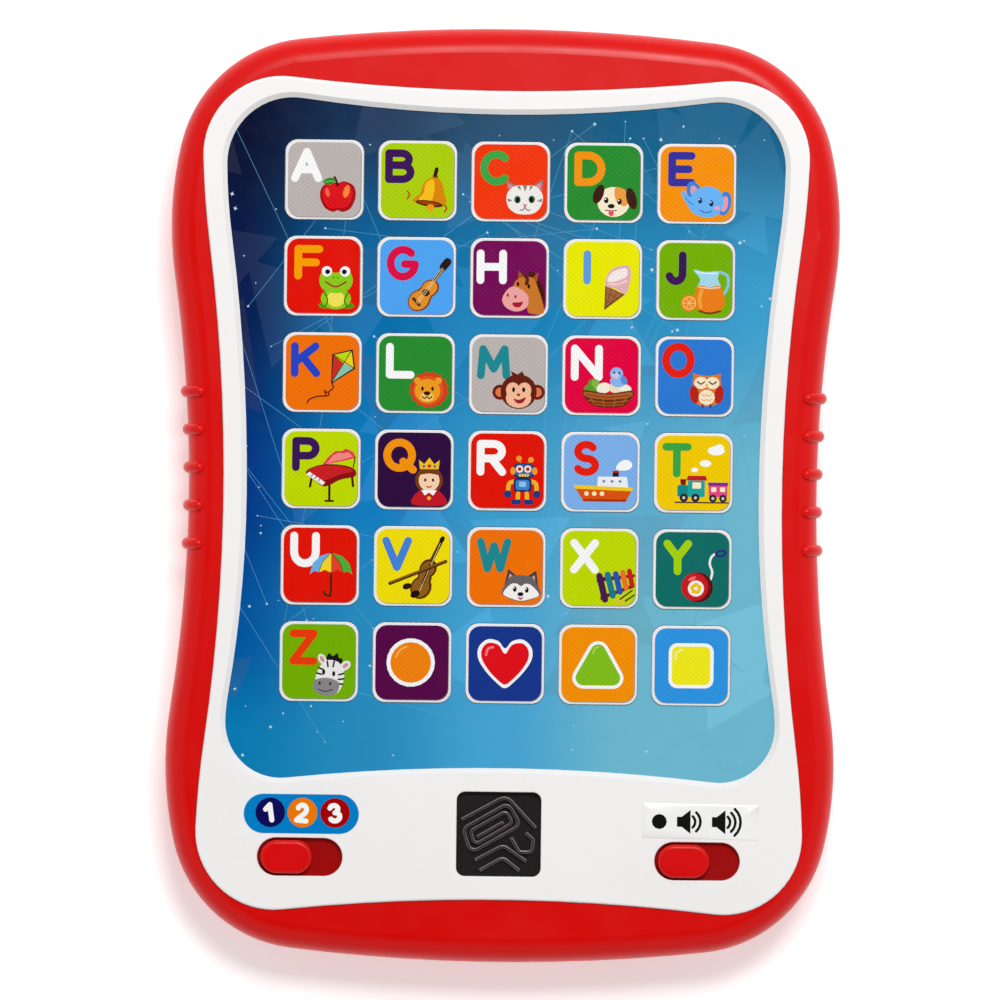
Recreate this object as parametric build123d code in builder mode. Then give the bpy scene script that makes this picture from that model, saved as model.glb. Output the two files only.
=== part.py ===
from build123d import *
import math
import os
import string

# A toy learning tablet that lies on its back: +Z out of the face, +Y towards the top of the face,
# +X to the right, the origin on the flat back under the middle of the body. Millimetres.

# ---- heights above the flat back
FLOOR = 2.0             # thickness of the back wall
PARTING = 11.5          # joint line between the two shells
DECK_LOW = 17.6         # underside of the front shell's deck
DECK_TOP = 19.6         # the deck that carries the membrane, the facing and the sliders
SPACER_LOW = 19.9
FILM_LOW = 21.0
FILM_TOP = 21.5
KEY_TOP = 21.9          # embossed keys stand a little proud of the film
RIM_TOP = 22.4
FACING_TOP = 23.2
KNOB_TOP = 24.3

# ---- running clearances
FIT = 0.15              # between pieces that lie or slide beside each other
LOOSE = 0.3             # round a stem or a door that must never bind

# ---- waisted outlines: half width at the waist, then tangent arcs as (radius, turn in degrees)
# from the waist up to the last arc, which closes on the centre line. A negative turn is hollow.
BODY = (81.2, ((373.0, -8.6), (92.3, 21.7), (35.3, 70.3)))
FACING = (72.0, ((480.0, -7.65), (230.0, 5.65), (20.3, 98.4)))
SCREEN_UPPER = (66.0, ((480.0, -7.93), (150.0, 7.13), (17.0, 98.8)))
SCREEN_LOWER = (66.0, ((324.0, -9.3), (43.0, 9.0), (14.3, 96.7)))
BACK_ROUND = 7.0        # rounding of the edge round the back
RIM_ROUND = 6.5         # rounding of the edge round the face
WALL = 3.4              # shell wall below the parting line
UPPER_WALL = 2.2        # shell wall above it
BEVEL = 1.3             # slope of the facing down to the screen
STACK_MARGIN = 1.6      # how far the membrane layers reach under the facing

# ---- keys: letters A to Z and four shapes, in six rows of five
KEY_PITCH = (24.0, 24.85)
KEY_CENTRE = (1.1, 18.8)
KEY_SIZE = (20.2, 20.6)
KEY_ROUND = 3.2
KEY_FLANGE = 0.5        # hidden lip that holds a key under the film
KEY_TRAVEL = 0.4
KEY_NAMES = list(string.ascii_lowercase) + ["circle", "heart", "triangle", "square"]

# ---- sliders below the screen: mode on the left, volume on the right
SLOT_X = 51.2
SLOT_Y = -93.7
SLOT = (22.0, 9.8)
KNOB = (13.3, 8.6)
SLIDE_TRAVEL = 6.9
SLIDE_COVER = (30.9, 12.6)
COVER_THICK = 1.7
STEM = (5.0, 3.0)
STEM_LOW = 14.6

# ---- light window between the sliders
WINDOW_Y = -87.3
WINDOW = 21.8
WINDOW_ROUND = 2.2
LIGHT_WELL = 18.8       # opening in the deck under the window

# ---- grips on both sides
GRIP_ROWS = (26.0, 16.2, 6.4, -3.4, -13.3)
GRIP_R = 1.55
GRIP_SINK = 0.1         # how deep its centre line lies under the surface
GRIP_INNER = 78.4       # where a ridge starts on the rim
GRIP_LOW = 14.0         # where it ends on the side wall

# ---- battery bay for three AAA cells, with a door in the back
CELL_R = 5.2
CELL_LENGTH = 44.0
CELL_PITCH = 11.1
BAY = (50.0, 34.4)
BAY_Y = -34.0
BAY_TOP = 14.6
BAY_WALL = 1.6
DOOR = (58.0, 39.2)
DOOR_LOBE_R = 6.5       # rounded ear that takes the door's screw
DOOR_SCREW_Y = -54.8
LEDGE_TOP = 3.5
TAB_X = 15.0
TAB = (8.0, 1.15)
TAB_REACH = 2.0

# ---- circuit board, speaker and screws
BOARD = (130.0, 27.0, 1.2)
BOARD_Y = -88.0
BOARD_TOP = 13.8
BOARD_SCREWS = (60.0, 9.8)
SPEAKER_Y = 56.0
SPEAKER_R = 18.0
CASE_SCREWS = ((71.0, 92.0), (69.5, 0.0), (71.0, -92.0))
SEAT = 6.0              # depth of the case screws' heads from the back

os.makedirs("parts", exist_ok=True)


def finish(part, name):
    part.label = name
    export_step(part, f"parts/{name}.step")


def quarter(outline, grow, way):
    """Draws a quarter of a waisted outline, from its waist to the centre line."""
    waist, arcs = outline
    point = Vector(waist + grow, 0)
    heading = Vector(0, way)
    direction = 90.0
    for radius, turn in arcs:
        arc = JernArc(point, heading, radius + (grow if turn > 0 else -grow), way * turn)
        point = arc @ 1
        heading = arc % 1
        direction += turn
    rest = 180.0 - direction
    JernArc(point, heading, point.X / abs(math.sin(math.radians(rest))), way * rest)


def waisted(upper, lower, grow=0.0):
    """The face inside a waisted outline, grown all round by so much."""
    with BuildSketch() as face:
        with BuildLine():
            quarter(upper, grow, 1)
            quarter(lower, grow, -1)
            mirror(about=Plane.YZ)
        make_face()
    return face.sketch


def body_face(grow=0.0):
    return waisted(BODY, BODY, grow)


def screen_face(grow=0.0):
    return waisted(SCREEN_UPPER, SCREEN_LOWER, grow)


def side_at(y):
    """Half width of the body at height y on its waist."""
    waist, arcs = BODY
    radius = arcs[0][0]
    return waist + radius - math.sqrt(radius**2 - y**2)


def door_face(grow=0.0):
    """Outline of the battery door: a plate with a rounded ear."""
    with BuildSketch() as face:
        with Locations((0, BAY_Y)):
            RectangleRounded(DOOR[0] + 2 * grow, DOOR[1] + 2 * grow, 2.0)
        with Locations((0, DOOR_SCREW_Y)):
            Circle(DOOR_LOBE_R + grow)
    return face.sketch


def rows_of_keys():
    """The centre of each key, row by row from the top left."""
    return [
        (KEY_CENTRE[0] + (column - 2) * KEY_PITCH[0], KEY_CENTRE[1] + (2.5 - row) * KEY_PITCH[1])
        for row in range(6)
        for column in range(5)
    ]


def key_outlines(places, grow=0.0, mode=Mode.ADD):
    """Draws the outline of a key at each place, grown all round by so much."""
    with Locations(*places):
        RectangleRounded(KEY_SIZE[0] + 2 * grow, KEY_SIZE[1] + 2 * grow, KEY_ROUND + grow, mode=mode)


def top_loops(builder):
    """The outer loop of the highest face, then its openings from the longest to the shortest."""
    top = builder.faces().sort_by(Axis.Z)[-1]
    return [top.outer_wire()] + sorted(top.inner_wires(), key=lambda wire: -wire.length)


def wire(points, radius):
    """A round lead through these points, with each bend as wide as its two runs allow."""
    corners = [Vector(*point) for point in points]
    bends = []
    for before, here, after in zip(corners, corners[1:], corners[2:]):
        shorter = min((here - before).length, (after - here).length)
        turn = (here - before).get_angle(after - here)
        bends.append(0.45 * shorter / math.tan(math.radians(turn / 2)))
    print("lead bends", [round(bend, 1) for bend in bends])
    with BuildPart() as lead:
        with BuildLine() as route:
            FilletPolyline(*corners, radius=bends)
        with BuildSketch(Plane(origin=route.line @ 0, z_dir=route.line % 0)):
            Circle(radius)
        sweep(path=route.line)
    return lead.part


def grip(y):
    """A round ridge with ball ends that follows the rounded rim down the right side."""
    centre_x = side_at(y) - RIM_ROUND
    centre_z = RIM_TOP - RIM_ROUND
    radius = RIM_ROUND - GRIP_SINK
    start = math.degrees(math.acos((GRIP_INNER - centre_x) / radius))
    with BuildPart() as ridge:
        with BuildLine(Plane.XZ.offset(-y)) as route:
            bend = CenterArc((centre_x, centre_z), radius, start, -start)
            Line(bend @ 1, (centre_x + radius, GRIP_LOW))
        with BuildSketch(Plane(origin=bend @ 0, z_dir=bend % 0)):
            Circle(GRIP_R)
        sweep(path=route.line)
        with Locations(route.line @ 0, route.line @ 1):
            Sphere(GRIP_R)
    return ridge.part


case_screws = [(side * x, y) for x, y in CASE_SCREWS for side in (-1, 1)]
board_screws = [
    (side * BOARD_SCREWS[0], BOARD_Y + end * BOARD_SCREWS[1]) for side in (-1, 1) for end in (-1, 1)
]
slot_places = [(-SLOT_X, SLOT_Y), (SLOT_X, SLOT_Y)]
key_places = rows_of_keys()
door_edge = BAY_Y + DOOR[1] / 2
cell_z = FLOOR + 0.45 + CELL_R

# ---- rear shell: the red tub, with the battery bay, speaker grille and screw wells
CASE_BOSS_R = 3.3
TAB_NOTCH = (2 * LOOSE + TAB[0], 8.0, 3.2)

with BuildPart() as rear_shell:
    with BuildSketch():
        add(body_face())
    extrude(amount=PARTING)
    fillet(rear_shell.edges().group_by(Axis.Z)[0], radius=BACK_ROUND)
    with BuildSketch(Plane.XY.offset(PARTING)):
        add(body_face(-UPPER_WALL - FIT))
    extrude(amount=1.5)
    # the inside steps in near the floor, to follow the rounded edge
    with BuildSketch(Plane.XY.offset(FLOOR + 2.5)):
        add(body_face(-WALL))
    extrude(amount=PARTING, mode=Mode.SUBTRACT)
    with BuildSketch(Plane.XY.offset(FLOOR)):
        add(body_face(-WALL - 2.0))
    extrude(amount=2.5, mode=Mode.SUBTRACT)
    # battery bay: a ledge for the door, four walls and a roof
    with BuildSketch(Plane.XY.offset(FLOOR)):
        add(door_face(grow=2.6))
    extrude(amount=LEDGE_TOP - FLOOR)
    with BuildSketch(Plane.XY.offset(FLOOR)):
        with Locations((0, BAY_Y)):
            Rectangle(BAY[0] + 2 * BAY_WALL, BAY[1] + 2 * BAY_WALL)
    extrude(amount=BAY_TOP - FLOOR)
    with Locations((0, DOOR_SCREW_Y, LEDGE_TOP)):
        Cylinder(3.4, 5.5, align=(Align.CENTER, Align.CENTER, Align.MIN))
    with BuildSketch():
        add(door_face(grow=0.2))
    extrude(amount=FLOOR, mode=Mode.SUBTRACT)
    with BuildSketch(Plane.XY.offset(FLOOR)):
        with Locations((0, BAY_Y)):
            Rectangle(*BAY)
    extrude(amount=BAY_TOP - BAY_WALL - FLOOR, mode=Mode.SUBTRACT)
    with Locations((-TAB_X, door_edge, FLOOR), (TAB_X, door_edge, FLOOR)):
        Box(*TAB_NOTCH, align=(Align.CENTER, Align.CENTER, Align.MIN), mode=Mode.SUBTRACT)
    with Locations((0, DOOR_SCREW_Y, FLOOR)):
        Cylinder(4.6, LEDGE_TOP - FLOOR, align=(Align.CENTER, Align.CENTER, Align.MIN), mode=Mode.SUBTRACT)
    with Locations((0, DOOR_SCREW_Y, FLOOR)):
        Cylinder(1.75, 6.0, align=(Align.CENTER, Align.CENTER, Align.MIN), mode=Mode.SUBTRACT)
    # solder tags of the battery contacts come out through the bay's end walls
    with Locations((-BAY[0] / 2, BAY_Y - CELL_PITCH, cell_z), (BAY[0] / 2, BAY_Y + CELL_PITCH, cell_z)):
        Box(6.0, 3.0, 1.4, mode=Mode.SUBTRACT)
    # speaker: a ring that holds it, and the grille under it
    with BuildSketch(Plane.XY.offset(FLOOR)):
        with Locations((0, SPEAKER_Y)):
            Circle(SPEAKER_R + 1.8)
            Circle(SPEAKER_R + FIT, mode=Mode.SUBTRACT)
    extrude(amount=3.5)
    with BuildSketch():
        with Locations((0, SPEAKER_Y)):
            Circle(1.1)
            for ring in (1, 2, 3):
                with PolarLocations(4.6 * ring, 6 * ring):
                    Circle(1.1)
    extrude(amount=FLOOR, mode=Mode.SUBTRACT)
    # wells for the case screws
    with BuildSketch(Plane.XY.offset(FLOOR)):
        with Locations(*case_screws):
            Circle(CASE_BOSS_R + 1.0)
    extrude(amount=PARTING - LOOSE - FLOOR)
    with BuildSketch():
        with Locations(*case_screws):
            Circle(2.9)
    extrude(amount=SEAT, mode=Mode.SUBTRACT)
    with BuildSketch():
        with Locations(*case_screws):
            Circle(1.45)
    extrude(amount=PARTING, mode=Mode.SUBTRACT)
finish(rear_shell.part, "rear_shell")

# ---- front shell: the red rim with its grips, and the deck inside it
with BuildPart() as front_shell:
    with BuildSketch(Plane.XY.offset(PARTING)):
        add(body_face())
    extrude(amount=RIM_TOP - PARTING)
    fillet(front_shell.edges().group_by(Axis.Z)[-1], radius=RIM_ROUND)
    with BuildSketch(Plane.XY.offset(PARTING)):
        add(body_face(-UPPER_WALL))
    extrude(amount=DECK_LOW - PARTING, mode=Mode.SUBTRACT)
    # the rim is hollow from below, outside the facing's seat
    with BuildSketch(Plane.XY.offset(DECK_LOW)):
        add(body_face(-4.0))
        add(waisted(FACING, FACING, 1.9), mode=Mode.SUBTRACT)
    extrude(amount=2.6, mode=Mode.SUBTRACT)
    with BuildSketch(Plane.XY.offset(DECK_TOP)):
        add(waisted(FACING, FACING, 0.08))
    extrude(amount=RIM_TOP - DECK_TOP, mode=Mode.SUBTRACT)
    # deck openings: the light well, a slot for each slider's stem and one for the membrane's tail
    with BuildSketch(Plane.XY.offset(DECK_LOW)):
        with Locations((0, WINDOW_Y)):
            RectangleRounded(LIGHT_WELL, LIGHT_WELL, 1.2)
        with Locations(*slot_places):
            Rectangle(STEM[0] + SLIDE_TRAVEL + 2 * LOOSE, STEM[1] + 2 * LOOSE)
        with Locations((20.0, -71.6)):
            Rectangle(14.0, 2.0)
    extrude(amount=DECK_TOP - DECK_LOW, mode=Mode.SUBTRACT)
    # bosses under the deck for the case screws and the board's screws
    with BuildSketch(Plane.XY.offset(PARTING)):
        with Locations(*case_screws):
            Circle(CASE_BOSS_R)
            Circle(1.25, mode=Mode.SUBTRACT)
    extrude(amount=DECK_LOW - PARTING)
    with BuildSketch(Plane.XY.offset(BOARD_TOP)):
        with Locations(*board_screws):
            Circle(2.6)
            Circle(1.0, mode=Mode.SUBTRACT)
    extrude(amount=DECK_LOW - BOARD_TOP)
    for y in GRIP_ROWS:
        ridge = grip(y)
        add(ridge)
        add(mirror(ridge, about=Plane.YZ, mode=Mode.PRIVATE))
finish(front_shell.part, "front_shell")

# ---- facing: the white plate round the screen, with the slider slots and the window
EDGE_ROUND = 0.7
SLOT_ROUND = 0.3
COVER_LOW = DECK_TOP + 0.1
LENS_FLANGE = 1.0

with BuildPart() as front_bezel:
    with BuildSketch(Plane.XY.offset(DECK_TOP)):
        add(waisted(FACING, FACING))
        add(screen_face(), mode=Mode.SUBTRACT)
        with Locations((0, WINDOW_Y)):
            RectangleRounded(WINDOW, WINDOW, WINDOW_ROUND, mode=Mode.SUBTRACT)
        with Locations(*slot_places):
            SlotOverall(*SLOT, mode=Mode.SUBTRACT)
    extrude(amount=FACING_TOP - DECK_TOP)
    fillet(top_loops(front_bezel)[0].edges(), radius=EDGE_ROUND)
    chamfer(top_loops(front_bezel)[1].edges(), length=BEVEL)
    fillet([edge for loop in top_loops(front_bezel)[2:] for edge in loop.edges()], radius=SLOT_ROUND)
    # seats underneath for the membrane layers, the slider covers and the window's flange
    with BuildSketch(Plane.XY.offset(DECK_TOP)):
        add(screen_face(STACK_MARGIN + FIT))
    extrude(amount=FILM_TOP - DECK_TOP, mode=Mode.SUBTRACT)
    with BuildSketch(Plane.XY.offset(DECK_TOP)):
        with Locations(*slot_places):
            RectangleRounded(
                SLIDE_COVER[0] + SLIDE_TRAVEL + 2 * LOOSE, SLIDE_COVER[1] + 2 * LOOSE, 1.2
            )
    extrude(amount=COVER_THICK + 0.2, mode=Mode.SUBTRACT)
    with BuildSketch(Plane.XY.offset(DECK_TOP)):
        with Locations((0, WINDOW_Y)):
            RectangleRounded(*2 * [WINDOW + 2 * LENS_FLANGE + FIT], WINDOW_ROUND)
    extrude(amount=1.2, mode=Mode.SUBTRACT)
finish(front_bezel.part, "front_bezel")

# ---- membrane stack under the facing: circuit sheet, spacer with a well per key, printed film
with BuildPart() as membrane_circuit:
    with BuildSketch(Plane.XY.offset(DECK_TOP)):
        add(screen_face(STACK_MARGIN))
    extrude(amount=SPACER_LOW - DECK_TOP)
finish(membrane_circuit.part, "membrane_circuit")

with BuildPart() as membrane_spacer:
    with BuildSketch(Plane.XY.offset(SPACER_LOW)):
        add(screen_face(STACK_MARGIN))
        key_outlines(key_places, KEY_FLANGE + FIT, Mode.SUBTRACT)
    extrude(amount=FILM_LOW - SPACER_LOW)
finish(membrane_spacer.part, "membrane_spacer")

with BuildPart() as overlay_film:
    with BuildSketch(Plane.XY.offset(FILM_LOW)):
        add(screen_face(STACK_MARGIN))
        key_outlines(key_places, FIT, Mode.SUBTRACT)
    extrude(amount=FILM_TOP - FILM_LOW)
finish(overlay_film.part, "overlay_film")

with BuildPart() as membrane_tail:
    with BuildSketch(Plane.YZ.offset(14.0)):
        with BuildLine() as tail_route:
            FilletPolyline(
                (-71.6, DECK_TOP), (-71.6, 16.4), (-78.0, 14.3), (-79.5, 14.3), radius=1.2
            )
        trace(line_width=0.25)
    extrude(amount=12.0)
finish(membrane_tail.part, "membrane_tail")

# ---- thirty keys
key_low = SPACER_LOW + KEY_TRAVEL + 0.05

for name, place in zip(KEY_NAMES, key_places):
    with BuildPart() as key:
        with BuildSketch(Plane.XY.offset(key_low)):
            key_outlines([place])
        extrude(amount=KEY_TOP - key_low)
        fillet(top_loops(key)[0].edges(), radius=0.25)
        with BuildSketch(Plane.XY.offset(key_low)):
            key_outlines([place], KEY_FLANGE)
        extrude(amount=FILM_LOW - 0.05 - key_low)
    finish(key.part, f"key_{name}")

# ---- sliders: knob, cover plate and stem in one, with a springy wiper under the stem
for name, (slot_x, slot_y) in zip(("mode", "volume"), slot_places):
    rest_x = slot_x - SLIDE_TRAVEL / 2
    with BuildPart() as slider:
        with BuildSketch(Plane.XY.offset(COVER_LOW + COVER_THICK)):
            with Locations((rest_x, slot_y)):
                SlotOverall(*KNOB)
        extrude(amount=KNOB_TOP - COVER_LOW - COVER_THICK)
        fillet(top_loops(slider)[0].edges(), radius=1.0)
        with BuildSketch(Plane.XY.offset(COVER_LOW)):
            with Locations((rest_x, slot_y)):
                RectangleRounded(*SLIDE_COVER, 1.2)
        extrude(amount=COVER_THICK)
        with Locations((rest_x, slot_y, STEM_LOW)):
            Box(*STEM, COVER_LOW - STEM_LOW, align=(Align.CENTER, Align.CENTER, Align.MIN))
    finish(slider.part, f"{name}_slider")
    with BuildPart() as wiper:
        with BuildSketch(Plane.XZ.offset(1.2 - slot_y)):
            with BuildLine():
                Polyline(
                    (rest_x - 4.5, BOARD_TOP + 0.4),
                    (rest_x - 3.5, BOARD_TOP + 0.18),
                    (rest_x - 2.0, STEM_LOW - 0.125),
                    (rest_x + 2.0, STEM_LOW - 0.125),
                    (rest_x + 3.5, BOARD_TOP + 0.18),
                    (rest_x + 4.5, BOARD_TOP + 0.4),
                )
            trace(line_width=0.2)
        extrude(amount=-2.4)
    finish(wiper.part, f"{name}_wiper")

# ---- clear window with sloped ribs moulded on its plate
RIB = 0.9
RIB_SLOPE = 12.0
LENS_TOP = 22.7
LENS_PLATE = 21.3
# each rib as bend radius, whether it closes on itself, and its corners from the window's centre:
# a roof over two nested tilted loops with a bar inside, a hook beside them, and two low roofs
LENS_RIBS = (
    (2.6, False, ((-9.6, 3.6), (1.8, 9.9), (9.6, 1.6))),
    (1.8, True, ((-9.2, 1.3), (2.4, 8.0), (5.6, 2.4), (-7.2, -5.0))),
    (1.2, True, ((-7.3, 0.7), (1.8, 5.9), (3.6, 2.9), (-6.2, -2.9))),
    (0.6, False, ((-5.6, -0.9), (-2.0, 1.2), (1.2, 3.1))),
    (1.0, False, ((3.2, -0.9), (5.4, -4.6), (8.6, -4.6), (9.0, -1.4), (7.0, 0.4))),
    (2.0, False, ((-6.0, -6.8), (1.2, -2.9), (7.2, -7.0))),
    (2.0, False, ((-4.8, -9.4), (1.2, -6.0), (5.4, -9.4))),
)

with BuildPart() as light_lens:
    with BuildSketch(Plane.XY.offset(DECK_TOP)):
        with Locations((0, WINDOW_Y)):
            RectangleRounded(*2 * [WINDOW + 2 * LENS_FLANGE], WINDOW_ROUND)
    extrude(amount=1.1)
    with BuildSketch(Plane.XY.offset(DECK_TOP)):
        with Locations((0, WINDOW_Y)):
            RectangleRounded(*2 * [WINDOW - 2 * FIT], WINDOW_ROUND - FIT)
    extrude(amount=LENS_PLATE - DECK_TOP)
    for bend, closed, points in LENS_RIBS:
        with BuildSketch(Plane.XY.offset(LENS_PLATE)):
            with BuildLine():
                FilletPolyline(*[(x, WINDOW_Y + y) for x, y in points], radius=bend, close=closed)
            trace(line_width=RIB)
        extrude(amount=LENS_TOP - LENS_PLATE, taper=RIB_SLOPE)
finish(light_lens.part, "light_lens")

with BuildPart() as light_led:
    with BuildSketch(Plane.XZ.offset(-WINDOW_Y)):
        with BuildLine():
            Polyline((0, BOARD_TOP), (2.9, BOARD_TOP), (2.9, BOARD_TOP + 0.8), (2.5, BOARD_TOP + 0.8))
            dome_low = (2.5, BOARD_TOP + 1.8)
            Line((2.5, BOARD_TOP + 0.8), dome_low)
            JernArc(dome_low, (0, 1), 2.5, 90)
            Line((0, BOARD_TOP + 4.3), (0, BOARD_TOP))
        make_face()
    revolve(axis=Axis((0, WINDOW_Y, 0), (0, 0, 1)))
finish(light_led.part, "light_led")

# ---- battery door, its screw, and what it covers
DOOR_THICK = 1.95
DOOR_SCREW_R = 1.3
HEAD_TOP = 1.75

with BuildPart() as battery_door:
    with BuildSketch():
        add(door_face())
    extrude(amount=DOOR_THICK)
    with Locations((0, DOOR_SCREW_Y, DOOR_THICK)):
        Cylinder(4.1, LEDGE_TOP - 0.3 - DOOR_THICK, align=(Align.CENTER, Align.CENTER, Align.MIN))
    # two flat hooks reach in over the edge of the opening and carry the door as it swings
    for x in (-TAB_X, TAB_X):
        with BuildSketch(Plane.YZ.offset(x - TAB[0] / 2)):
            with BuildLine():
                Polyline(
                    (door_edge - 3.0, DOOR_THICK),
                    (door_edge - 3.0, FLOOR + TAB[1]),
                    (door_edge + TAB_REACH, FLOOR + TAB[1]),
                    (door_edge + TAB_REACH, FLOOR + 0.08),
                    (door_edge - 0.1, FLOOR + 0.08),
                    (door_edge - 0.1, DOOR_THICK),
                    close=True,
                )
            make_face()
        extrude(amount=TAB[0])
    # thumb grooves and an arrow in the outer face
    with BuildSketch():
        with Locations((0, BAY_Y - 9.0)):
            with GridLocations(0, 2.6, 1, 5):
                SlotOverall(22.0, 1.2)
        with Locations((0, BAY_Y + 8.0)):
            RegularPolygon(4.5, 3, rotation=90)
    extrude(amount=0.5, mode=Mode.SUBTRACT)
    with Locations((0, DOOR_SCREW_Y)):
        Cylinder(2.65, HEAD_TOP, align=(Align.CENTER, Align.CENTER, Align.MIN), mode=Mode.SUBTRACT)
        Cylinder(
            DOOR_SCREW_R + 0.1,
            LEDGE_TOP,
            align=(Align.CENTER, Align.CENTER, Align.MIN),
            mode=Mode.SUBTRACT,
        )
finish(battery_door.part, "battery_door")


def screws(places, head_r, head_low, seat, shank_r, tip):
    """Round-headed cross screws that point up, one at each place."""
    with BuildPart() as group:
        with Locations(*[(x, y, head_low) for x, y in places]):
            Cylinder(head_r, seat - head_low, align=(Align.CENTER, Align.CENTER, Align.MIN))
            Cylinder(shank_r, tip - head_low, align=(Align.CENTER, Align.CENTER, Align.MIN))
        fillet(group.edges().group_by(Axis.Z)[0], radius=0.4)
        with Locations(*[(x, y, head_low) for x, y in places]):
            for turn in (0, 90):
                Box(
                    head_r * 1.2,
                    head_r * 0.25,
                    (seat - head_low) * 0.6,
                    rotation=(0, 0, turn),
                    align=(Align.CENTER, Align.CENTER, Align.MIN),
                    mode=Mode.SUBTRACT,
                )
    return group.part


finish(screws([(0, DOOR_SCREW_Y)], 2.4, 0.15, HEAD_TOP, DOOR_SCREW_R, 6.5), "battery_door_screw")
finish(screws(case_screws, 2.6, SEAT - 1.8, SEAT, 1.2, 15.5), "case_screws")
board_low = BOARD_TOP - BOARD[2]
finish(screws(board_screws, 1.9, board_low - 1.4, board_low, 0.95, 17.0), "board_screws")

# ---- three cells side by side, every other one turned round
NUB = (1.9, 0.9)
contact_x = BAY[0] / 2 - 0.4
cells = [(way, BAY_Y + row * CELL_PITCH) for way, row in zip((1, -1, 1), (-1, 0, 1))]

with BuildPart() as batteries:
    for way, y in cells:
        nub_end = contact_x - 0.1
        with BuildSketch(Plane.XY.offset(cell_z)):
            with BuildLine():
                Polyline(
                    (way * nub_end, y),
                    (way * nub_end, y + NUB[0]),
                    (way * (nub_end - NUB[1]), y + NUB[0]),
                    (way * (nub_end - NUB[1]), y + CELL_R),
                    (way * (nub_end - CELL_LENGTH), y + CELL_R),
                    (way * (nub_end - CELL_LENGTH), y),
                    close=True,
                )
            make_face()
        revolve(axis=Axis((0, y, cell_z), (1, 0, 0)))
finish(batteries.part, "batteries")

SPRING_WIRE = 0.35
spring_space = 2 * contact_x - 0.1 - CELL_LENGTH

with BuildPart() as battery_springs:
    for way, y in cells:
        start = (-way * (contact_x - SPRING_WIRE - 0.05), y, cell_z)
        with BuildLine() as coil:
            Helix(1.3, spring_space - 2 * SPRING_WIRE - 0.1, 2.8, center=start, direction=(way, 0, 0))
        with BuildSketch(Plane(origin=coil.line @ 0, z_dir=coil.line % 0)):
            Circle(SPRING_WIRE)
        sweep(path=coil.line, is_frenet=True)
finish(battery_springs.part, "battery_springs")

with BuildPart() as battery_contacts:
    plate = 0.35
    for side, plates in ((-1, ((-1, 1, True), (0.5, 2, False))), (1, ((1, 1, True), (-0.5, 2, False)))):
        for row, count, tagged in plates:
            y = BAY_Y + row * CELL_PITCH
            x = side * (BAY[0] / 2 - plate / 2)
            with Locations((x, y, cell_z)):
                Box(plate, 8.6 + (count - 1) * CELL_PITCH, 8.6)
            if tagged:
                with Locations((side * (BAY[0] / 2 + 1.2), y, cell_z)):
                    Box(2.4 + 2 * plate, 2.2, plate)
finish(battery_contacts.part, "battery_contacts")

# ---- speaker: a steel basket with its magnet, and the paper cone facing the grille
SPEAKER_LOW = FLOOR + 0.6
speaker_axis = Axis((0, SPEAKER_Y, 0), (0, 0, 1))

with BuildPart() as speaker:
    with BuildSketch(Plane.XZ.offset(-SPEAKER_Y)):
        with BuildLine():
            Polyline(
                (0, SPEAKER_LOW + 4.4),
                (6.6, SPEAKER_LOW + 4.4),
                (15.2, SPEAKER_LOW + 1.4),
                (15.2, SPEAKER_LOW),
                (SPEAKER_R, SPEAKER_LOW),
                (SPEAKER_R, SPEAKER_LOW + 1.2),
                (16.2, SPEAKER_LOW + 2.2),
                (9.0, SPEAKER_LOW + 5.2),
                (9.0, SPEAKER_LOW + 9.2),
                (0, SPEAKER_LOW + 9.2),
                close=True,
            )
        make_face()
    revolve(axis=speaker_axis)
finish(speaker.part, "speaker")

with BuildPart() as speaker_cone:
    with BuildSketch(Plane.XZ.offset(-SPEAKER_Y)):
        with BuildLine():
            Polyline(
                (0, SPEAKER_LOW + 2.6),
                (3.4, SPEAKER_LOW + 2.9),
                (14.6, SPEAKER_LOW + 0.4),
                (15.0, SPEAKER_LOW + 0.4),
                (15.0, SPEAKER_LOW + 0.8),
                (3.6, SPEAKER_LOW + 3.5),
                (0, SPEAKER_LOW + 3.1),
                close=True,
            )
        make_face()
    revolve(axis=speaker_axis)
finish(speaker_cone.part, "speaker_cone")

# ---- circuit board under the chin, with the parts on it
with BuildPart() as main_board:
    with BuildSketch(Plane.XY.offset(board_low)):
        with Locations((0, BOARD_Y)):
            RectangleRounded(BOARD[0], BOARD[1], 1.5)
        with Locations(*board_screws):
            Circle(1.1, mode=Mode.SUBTRACT)
    extrude(amount=BOARD[2])
finish(main_board.part, "main_board")

with BuildPart() as sound_chip:
    with Locations((-24.0, -83.0, BOARD_TOP)):
        Cylinder(6.0, 1.5, align=(Align.CENTER, Align.CENTER, Align.MIN))
    fillet(sound_chip.edges().group_by(Axis.Z)[-1], radius=1.3)
finish(sound_chip.part, "sound_chip")

with BuildPart() as board_components:
    with BuildSketch(Plane.XY.offset(BOARD_TOP)):
        with Locations((20.0, -80.2)):
            Rectangle(14.0, 3.0)
        with Locations((-20.0, -96.0)):
            with GridLocations(3.4, 0, 5, 1):
                Rectangle(1.6, 3.0)
        with Locations((24.0, -96.0)):
            with GridLocations(3.4, 0, 4, 1):
                Rectangle(1.6, 3.0)
    extrude(amount=0.3)
    with Locations((20.0, -81.4, BOARD_TOP)):
        Box(14.0, 2.0, 2.2, align=(Align.CENTER, Align.CENTER, Align.MIN))
    with Locations((52.0, -82.0, board_low), (58.0, -84.5, board_low)):
        Cylinder(2.5, 6.0, align=(Align.CENTER, Align.CENTER, Align.MAX))
finish(board_components.part, "board_components")

# ---- leads inside the case: battery to board and speaker to board, two each
LEAD_R = 0.55
tag_x = BAY[0] / 2 + 2.3
tag_y = CELL_PITCH

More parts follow.
